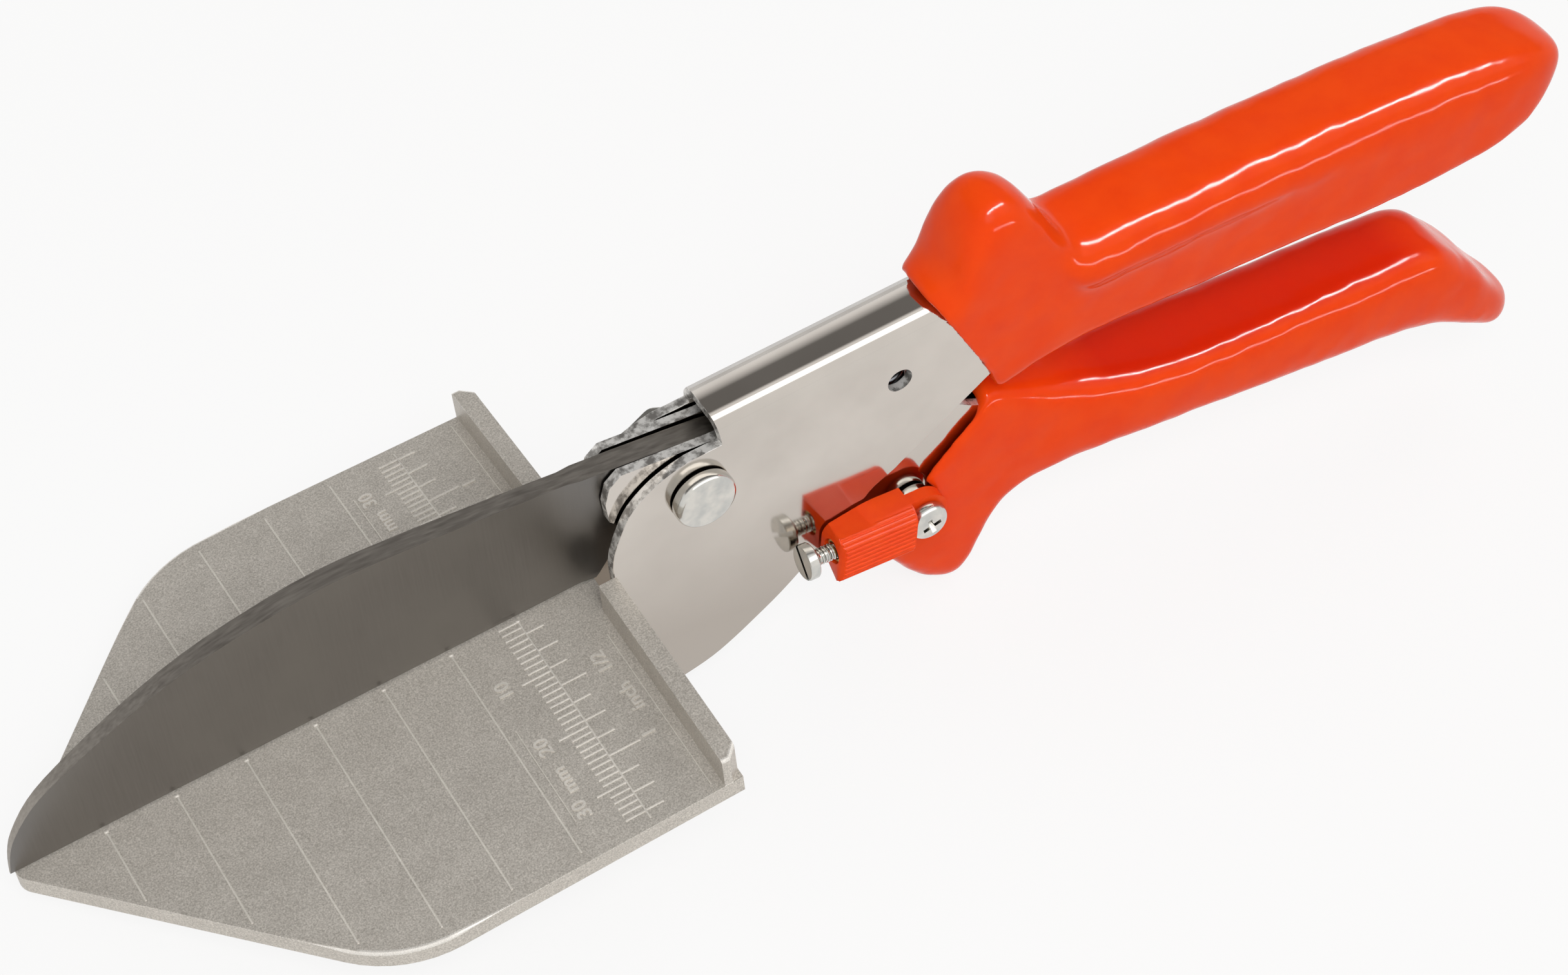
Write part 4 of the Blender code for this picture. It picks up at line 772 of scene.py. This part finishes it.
def latchProfile(inner, outer, low, high):
    # the block's outline from the side: a top that falls to the nose, and a rounded toe
    knee = latch["end"] - latch["noseRun"]
    side = addBlock("latchSide", (inner - mm, low, latch["start"]),
                    (outer + latch["ribRadius"], high, latch["end"]))
    bevelWhere(side, lambda spot: spot.x > outer and near(spot.z, latch["end"]), latch["frontRound"], 6)
    alone(side)
    bpy.ops.object.mode_set(mode="EDIT")
    bpy.ops.mesh.select_all(action="SELECT")
    bpy.ops.mesh.bisect(plane_co=(0, 0, knee), plane_no=(0, 0, 1))
    pick(side, "VERT", lambda vert: near(vert.co.y, high) and near(vert.co.z, latch["end"]))
    bpy.ops.transform.translate(value=(0, -latch["noseDrop"], 0))
    bpy.ops.object.mode_set(mode="OBJECT")
    bevelWhere(side, lambda spot: near(spot.y, low) and near(spot.z, latch["end"]), latch["toeRound"], 8)
    bevelWhere(side, lambda spot: near(spot.y, high - latch["noseDrop"]) and near(spot.z, latch["end"]),
               latch["noseRound"], 5)
    bevelWhere(side, lambda spot: near(spot.y, high) and near(spot.z, knee), latch["kneeRound"], 5)
    return side


def ribSpots(outer, low, high):
    # rib middles round the upper corner, down the near face and round the lower corner, as (near, up)
    corner = latch["round"] * math.pi / 2
    straight = high - low - 2 * latch["round"]
    radius = latch["round"] - latch["ribSink"]
    x, top, bottom = outer - latch["round"], high - latch["round"], low + latch["round"]
    for number in range(latch["ribCount"]):
        along = latch["ribPitch"] * (number + latch["ribFirst"])
        if along < corner:
            angle = along / latch["round"]
            yield x + radius * math.sin(angle), top + radius * math.cos(angle)
        elif along < corner + straight:
            yield outer - latch["ribSink"], top - along + corner
        else:
            angle = min((along - straight - corner) / latch["round"], math.pi / 2)
            yield x + radius * math.cos(angle), bottom - radius * math.sin(angle)


def makeLatch():
    inner = drawing["headSeat"]
    outer = inner + latch["width"]
    low = latch["rise"] - latch["halfHeight"]
    high = latch["rise"] + latch["halfHeight"]
    block = addBlock("thumbLatch", (inner, low, latch["start"]), (outer, high, latch["end"]))
    bevelWhere(block, lambda spot: near(spot.x, outer) and near(spot.y, low), latch["round"], 8)
    bevelWhere(block, lambda spot: near(spot.x, outer) and near(spot.y, high), latch["round"], 8)
    ribs = []
    for x, y in ribSpots(outer, low, high):
        rib = addDrum("latchRib", latch["ribRadius"], latch["start"] + latch["ribInset"],
                      latch["end"] - latch["ribInset"], 14)
        ribs.append(settle(rib, Matrix.Translation((x, y, 0))))
    carve(block, joinAll(ribs, "latchRibs"), "UNION", selfCross=True)
    carve(block, latchProfile(inner, outer, low - latch["ribRadius"], high), "INTERSECT")
    hinge = Matrix.Translation((inner, 0, 0)) @ Matrix.Rotation(math.pi / 2, 4, "Y")
    thick = latch["tongueThickness"]
    tongue = settle(addDrum("latchTongue", latch["tongueRadius"], 0, thick, 64), hinge)
    bridge = addBlock("latchBridge", (inner, latch["bridgeLow"], 0),
                      (inner + thick, latch["bridgeHigh"], latch["start"] + mm))
    carve(block, carve(tongue, bridge, "UNION"), "UNION")
    middle = Matrix.Translation((inner + latch["width"] / 2, latch["threadRise"], 0))
    end = latch["end"]
    bore = addDrum("threadBore", latch["threadBore"], end - latch["threadDepth"], end + mm, 40)
    carve(block, settle(bore, middle))
    pocket = addDrum("insertBore", latch["insertBore"], end - latch["insertDepth"], end + mm, 48)
    carve(block, settle(pocket, middle))
    carve(block, settle(addDrum("hingeHole", latch["screwHole"], -mm, 2 * thick, 48), hinge))
    settle(block, latchPlace("forward"))
    finishPiece(block, "latch_body", finishes["orange_latch"], ["latch"], smoothAngle=28)
    print("latch made:", len(block.data.polygons), "faces")


panScrew = {"radius": 3.0 * mm, "height": 1.9 * mm, "dome": 1.35 * mm, "shankRadius": 1.5 * mm,
            "seat": 7.6 * mm, "shankEnd": -3.3 * mm, "crossLength": 4.0 * mm, "crossWidth": 0.8 * mm,
            "crossDepth": 1.3 * mm, "crossTurn": 20.0, "crossTaper": (0.35, 0.7, 1)}
latchWasher = {"radius": 2.8 * mm, "bore": 1.6 * mm, "low": 3.6 * mm, "high": 5.1 * mm}


def addCross(top):
    # a cross recess: two wings that narrow towards the bottom
    wings = []
    for turn in (0, math.pi / 2):
        half = panScrew["crossLength"] / 2
        wide = panScrew["crossWidth"] / 2
        wing = addBlock("crossWing", (-half, -wide, top - panScrew["crossDepth"]), (half, wide, top + mm))
        alone(wing)
        bpy.ops.object.mode_set(mode="EDIT")
        pick(wing, "FACE", lambda face: face.normal.z < -0.9)
        bpy.ops.transform.resize(value=panScrew["crossTaper"])
        bpy.ops.object.mode_set(mode="OBJECT")
        wings.append(settle(wing, Matrix.Rotation(turn + math.radians(panScrew["crossTurn"]), 4, "Z")))
    return carve(wings[0], wings[1], "UNION")


def makeLatchScrew():
    top = panScrew["seat"] + panScrew["height"]
    screw = addDrum("latchPanScrew", panScrew["radius"], panScrew["seat"], top)
    roundRim(screw, top, panScrew["radius"], panScrew["dome"], 10)
    roundRim(screw, panScrew["seat"], panScrew["radius"], bolt["underRim"], 2)
    shank = addDrum("latchShank", panScrew["shankRadius"], panScrew["shankEnd"], panScrew["seat"] + mm / 2,
                    48)
    carve(screw, shank, "UNION")
    carve(screw, addCross(top))
    settle(screw, latchPlace("near"))
    finishPiece(screw, "blade_lever", finishes["bright_zinc"], ["latch_screw"])


adjuster = {"headRadius": 2.6 * mm, "headHeight": 1.5 * mm, "face": 20.1 * mm, "rim": 0.22 * mm,
            "slotWidth": 0.65 * mm, "slotDepth": 0.85 * mm, "slotTurn": 45.0, "coreRadius": 0.98 * mm,
            "end": 7.6 * mm, "crestRadius": 1.06 * mm, "wire": 0.15 * mm, "pitch": 0.45 * mm,
            "threadStart": 11.0 * mm, "threadClear": 0.25 * mm, "turnPoints": 20, "slotReach": 4.0 * mm}


def addThread(low, high):
    # the thread's crest: a thin round wire wound up the core
    turns = (high - low) / adjuster["pitch"]
    count = round(turns * adjuster["turnPoints"])
    spots = []
    for number in range(count + 1):
        angle = 2 * math.pi * turns * number / count
        spots.append((adjuster["crestRadius"] * math.cos(angle), adjuster["crestRadius"] * math.sin(angle),
                      low + (high - low) * number / count))
    return windWire("screwThread", spots, adjuster["wire"], 1)


def makeAdjuster():
    face = adjuster["face"]
    under = face - adjuster["headHeight"]
    screw = addDrum("adjustingCheeseScrew", adjuster["headRadius"], under, face)
    roundRim(screw, face, adjuster["headRadius"], adjuster["rim"], 4)
    roundRim(screw, under, adjuster["headRadius"], adjuster["rim"], 4)
    core = addDrum("adjusterCore", adjuster["coreRadius"], adjuster["end"], under + mm / 2, 40)
    carve(core, addThread(adjuster["threadStart"], under - adjuster["threadClear"]), "UNION")
    carve(screw, core, "UNION")
    half, reach = adjuster["slotWidth"] / 2, adjuster["slotReach"]
    slot = addBlock("screwSlot", (-half, -reach, face - adjuster["slotDepth"]), (half, reach, face + mm))
    carve(screw, settle(slot, Matrix.Rotation(math.radians(adjuster["slotTurn"]), 4, "Z")))
    middle = Matrix.Translation((drawing["headSeat"] + latch["width"] / 2, latch["threadRise"], 0))
    settle(screw, latchPlace("forward") @ middle)
    finishPiece(screw, "adjuster", finishes["bright_zinc"], ["adjusting_screw"])
    print("adjusting screw made:", len(screw.data.polygons), "faces")


makeLatch()
makeLatchScrew()
makeAdjuster()
makeWasher("latchWasher", "latch_washer", "blade_lever", latchPlace("near"), latchWasher["radius"],
           latchWasher["bore"], latchWasher["low"], latchWasher["high"])


# Grips: the dipped coat as one smooth skin with a soft lip and slow waves in it

dip = {"upper_grip": ("upperDippedGrip", "frame_lever"), "lower_grip": ("lowerDippedGrip", "blade_lever"),
       "weld": 0.004 * mm, "waveSize": 5.0 * mm, "waveHeight": 0.26 * mm, "levels": 2,
       "voxel": 0.45 * mm, "smoothing": 24, "endLength": 9.0 * mm, "endFade": 6.0 * mm, "endSmoothing": 90,
       # the painted shade on the lower grip's top face: where along the grip it lies, and which way the face looks
       "paintedShadeStart": 78.0 * mm, "paintedShadeEnd": 154.0 * mm, "paintedShadeFade": 14.0 * mm,
       "paintedShadeFacing": (0, 0.45, 0.9), "facingStart": 0.35, "facingFade": 0.4}


def ramp(value, fade):
    # 0 to 1 while the value goes from 0 to the fade
    return min(max(value / fade, 0), 1)


def markGrip(grip, underOther):
    # weight the far end for extra rounding; paint shade on the face that the other grip keeps from the light
    spots = [toDrawing @ vert.co for vert in grip.data.vertices]
    last = max(spot.x for spot in spots)
    grip.vertex_groups.clear()
    rear = grip.vertex_groups.new(name="end")
    shares = []
    for vert, spot in zip(grip.data.vertices, spots):
        weight = ramp(spot.x - last + dip["endLength"], dip["endFade"])
        if weight > 0:
            rear.add([vert.index], weight, "REPLACE")
        if not underOther:
            shares.append(0.0)
        else:
            facing = (toDrawing.to_3x3() @ vert.normal).dot(Vector(dip["paintedShadeFacing"]))
            share = ramp(facing - dip["facingStart"], dip["facingFade"])
            reach = ramp(spot.x - dip["paintedShadeStart"], dip["paintedShadeFade"])
            reach *= ramp(dip["paintedShadeEnd"] - spot.x, dip["paintedShadeFade"])
            shares.append(reach * share * share * (3 - 2 * share))
    grip.data.attributes.new("paintedShade", "FLOAT", "POINT").data.foreach_set("value", shares)


def makeGrips():
    waves = bpy.data.textures.new("dipWaves", "CLOUDS")
    waves.noise_scale = dip["waveSize"]
    waves.noise_depth = 1
    for nodeName in ("upper_grip", "lower_grip"):
        pieceName, body = dip[nodeName]
        grip = copyNode(nodeName, pieceName, dip["weld"], asQuads=True)
        smooth = grip.modifiers.new("smooth", "SUBSURF")
        smooth.levels = dip["levels"]
        smooth.render_levels = dip["levels"]
        skin = grip.modifiers.new("skin", "REMESH")
        skin.mode = "VOXEL"
        skin.voxel_size = dip["voxel"]
        relax = grip.modifiers.new("relax", "SMOOTH")
        relax.factor = 0.5
        relax.iterations = dip["smoothing"]
        wave = grip.modifiers.new("wave", "DISPLACE")
        wave.texture = waves
        wave.texture_coords = "LOCAL"
        wave.strength = dip["waveHeight"]
        wave.mid_level = 0.5
        end = grip.modifiers.new("roundEnd", "SMOOTH")
        end.factor = 0.5
        end.iterations = dip["endSmoothing"]
        for modifier in ("smooth", "skin"):
            bpy.ops.object.modifier_apply(modifier=modifier)
        markGrip(grip, nodeName == "lower_grip")
        end.vertex_group = "end"
        applyAll(grip)
        finishPiece(grip, body, finishes["orange_grip"], [nodeName], smoothAngle=70)
        print(pieceName, "made:", len(grip.data.polygons), "faces")


makeGrips()


# Return spring: a coil between the levers

spring = {"x": 57.8 * mm, "low": 10.25 * mm, "high": 19.9 * mm, "radius": 2.7 * mm, "wire": 0.45 * mm,
          "turns": 6.5, "deadTurns": 0.9, "closedPitchShare": 1.06, "turnPoints": 28}


def makeSpring():
    count = round(spring["turns"] * spring["turnPoints"])
    live = spring["turns"] - 2 * spring["deadTurns"]
    # the end turns lie almost closed, the live ones share the rest of the height
    closed = 2 * spring["wire"] * spring["deadTurns"] * spring["closedPitchShare"]
    spots = []
    for number in range(count + 1):
        turn = spring["turns"] * number / count
        middle = ramp(turn - spring["deadTurns"], live)
        ends = min(turn, spring["deadTurns"]) + max(turn - spring["turns"] + spring["deadTurns"], 0)
        rise = ends / spring["deadTurns"] * closed
        height = spring["low"] + rise + middle * (spring["high"] - spring["low"] - 2 * closed)
        angle = 2 * math.pi * turn
        x, y = spring["radius"] * math.cos(angle), spring["radius"] * math.sin(angle)
        spots.append((spring["x"] + x, y, height))
    coil = settle(windWire("returnCoil", spots, spring["wire"], 3), stand)
    coil.data.materials.append(finishes["spring_steel"])
    bpy.ops.object.shade_smooth_by_angle(angle=math.radians(50))
    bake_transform(coil)
    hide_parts("return_spring")
    print("spring made")


makeSpring()


# Stage, lamps and camera

room = {"floorSize": 3.0, "floorDrop": 0.02 * mm, "floorTone": (228, 226, 223), "floorGlow": 0.86,
        "worldStrength": 0.42, "worldTone": (1.0, 0.99, 0.98, 1), "darkTone": (0.19, 0.185, 0.18, 1),
        "paleTone": (0.97, 0.965, 0.96, 1), "bandNear": (-0.18, 0.05), "bandFar": (0.94, 0.74),
        "bandLow": (0.25, 0.42)}
white = (1, 1, 1, 1)


def seenBy(finish):
    # 1 where the camera looks straight at the surface, and 1 where it looks by way of a mirror or glass
    camera = finish.add("LightPath", output=0)
    glossy = finish.add("LightPath", output=3)
    glass = finish.add("LightPath", output=6)
    return camera, finish.maths("MAXIMUM", glossy, glass)


def makeFloor():
    bpy.ops.mesh.primitive_plane_add(size=room["floorSize"], location=(0, 0, -room["floorDrop"]))
    floor = bpy.context.object
    floor.name = "floor"
    finish = Finish("paleFloor", Roughness=0.9, Specular_IOR_Level=0.1, Base_Color=tone(*room["floorTone"]))
    camera, mirrored = seenBy(finish)
    seen = finish.maths("MAXIMUM", camera, mirrored)
    glow = finish.add("Emission", Color=white, Strength=1.0)
    plain = Signal(finish, finish.shader.outputs[0])
    mixed = finish.add("MixShader", n0=room["floorGlow"] * seen, n1=plain, n2=glow)
    finish.feed(finish.tree.nodes["Material Output"].inputs["Surface"], mixed)
    floor.data.materials.append(finish.material)


def makeWorld():
    world = bpy.data.worlds.new("studio")
    bpy.context.scene.world = world
    world.use_nodes = True
    tree = world.node_tree
    for node in list(tree.nodes):
        tree.nodes.remove(node)
    finish = Finish.__new__(Finish)
    finish.tree = tree
    direction = finish.add("TexCoord", output=0)
    height = finish.add("SeparateXYZ", output=2, Vector=direction)
    depth = finish.add("SeparateXYZ", output=1, Vector=direction)
    # a dark band for the metal to mirror
    band = finish.between(depth, *room["bandNear"]) * finish.between(depth, *room["bandFar"])
    shade = finish.blend(band * finish.between(height, *room["bandLow"]), room["paleTone"], room["darkTone"])
    camera, mirrored = seenBy(finish)
    plain = finish.add("Background", Color=room["worldTone"], Strength=room["worldStrength"])
    shown = finish.add("Background", Color=shade, Strength=1.0)
    backdrop = finish.add("Background", Color=white, Strength=1.0)
    first = finish.add("MixShader", n0=mirrored, n1=plain, n2=shown)
    second = finish.add("MixShader", n0=camera, n1=first, n2=backdrop)
    output = tree.nodes.new("ShaderNodeOutputWorld")
    tree.links.new(second.socket, output.inputs["Surface"])


# spots are places in the room; ways are directions in the drawing, from the rail's middle or from the origin
lamps = {"keyLamp": {"spot": (-0.30, -0.55, 0.75), "size": (0.45, 0.45), "power": 5.2},
         "fillLamp": {"spot": (0.55, 0.35, 0.60), "size": (0.5, 0.5), "power": 1.4},
         "stripLamp": {"way": (0.27, -0.34, 0.90), "size": (0.9, 0.07), "power": 32.0},
         "lowStripLamp": {"way": (0.27, -0.93, 0.16), "size": (0.7, 0.05), "power": 5.0},
         "sheenLamp": {"way": (0.27, -0.55, 0.79), "size": (1.3, 0.3), "power": 1.9}}
lampRoom = {"reach": 0.75, "rail": (0.125, -0.006, 0.02), "aim": (0, 0, 0.02), "sheenAim": (0, 0, 0.03)}


def addLamp(name, place, aim, shows):
    # shows is diffuse for a lamp that only lights, glossy for one that only mirrors
    size, power = lamps[name]["size"], lamps[name]["power"]
    data = bpy.data.lights.new(name, "AREA")
    data.shape = "RECTANGLE"
    data.size, data.size_y = size
    data.energy = power
    lamp = bpy.data.objects.new(name, data)
    bpy.context.scene.collection.objects.link(lamp)
    lamp.location = place
    lamp.rotation_euler = (Vector(aim) - Vector(place)).to_track_quat("-Z", "Y").to_euler()
    lamp.visible_glossy = shows == "glossy"
    lamp.visible_diffuse = shows == "diffuse"
    return lamp


def hangLamps():
    for name in ("keyLamp", "fillLamp"):
        addLamp(name, lamps[name]["spot"], lampRoom["aim"], "diffuse")
    # the two strips draw the long highlights of the orange pieces, and shine on nothing else
    orange = bpy.data.collections.new("orangePieces")
    for name in ("upperDippedGrip", "lowerDippedGrip", "thumbLatch"):
        orange.objects.link(bpy.data.objects[name])
    rail = stand @ Vector(lampRoom["rail"])
    for name in ("stripLamp", "lowStripLamp"):
        way = stand.to_3x3() @ Vector(lamps[name]["way"])
        strip = addLamp(name, rail + way * lampRoom["reach"], rail, "glossy")
        strip.light_linking.receiver_collection = orange
    way = stand.to_3x3() @ Vector(lamps["sheenLamp"]["way"])
    addLamp("sheenLamp", way * lampRoom["reach"], lampRoom["sheenAim"], "glossy")


# the camera fitted to the ruler in the photograph, as places and directions in the drawing
view = {"lens": 87.36, "sensor": 36.0, "spot": (-98.97 * mm, -293.15 * mm, 398.21 * mm),
        "right": (0.85643, -0.51095, -0.07383), "down": (-0.43853, -0.64454, -0.62630),
        "forward": (0.27243, 0.56876, -0.77607)}


def makeCamera():
    data = bpy.data.cameras.new("camera")
    data.lens = view["lens"]
    data.sensor_width = view["sensor"]
    data.sensor_fit = "HORIZONTAL"
    data.clip_start = 0.01
    data.clip_end = 10.0
    camera = bpy.data.objects.new("camera", data)
    bpy.context.scene.collection.objects.link(camera)
    columns = (Vector(view["right"]), -Vector(view["down"]), -Vector(view["forward"]))
    turn = Matrix(columns).transposed().to_4x4()
    camera.matrix_world = stand @ Matrix.Translation(view["spot"]) @ turn
    bpy.context.scene.camera = camera


makeFloor()
makeWorld()
hangLamps()
makeCamera()
bpy.context.scene.view_settings.view_transform = "Standard"
print("stage, lamps and camera made")
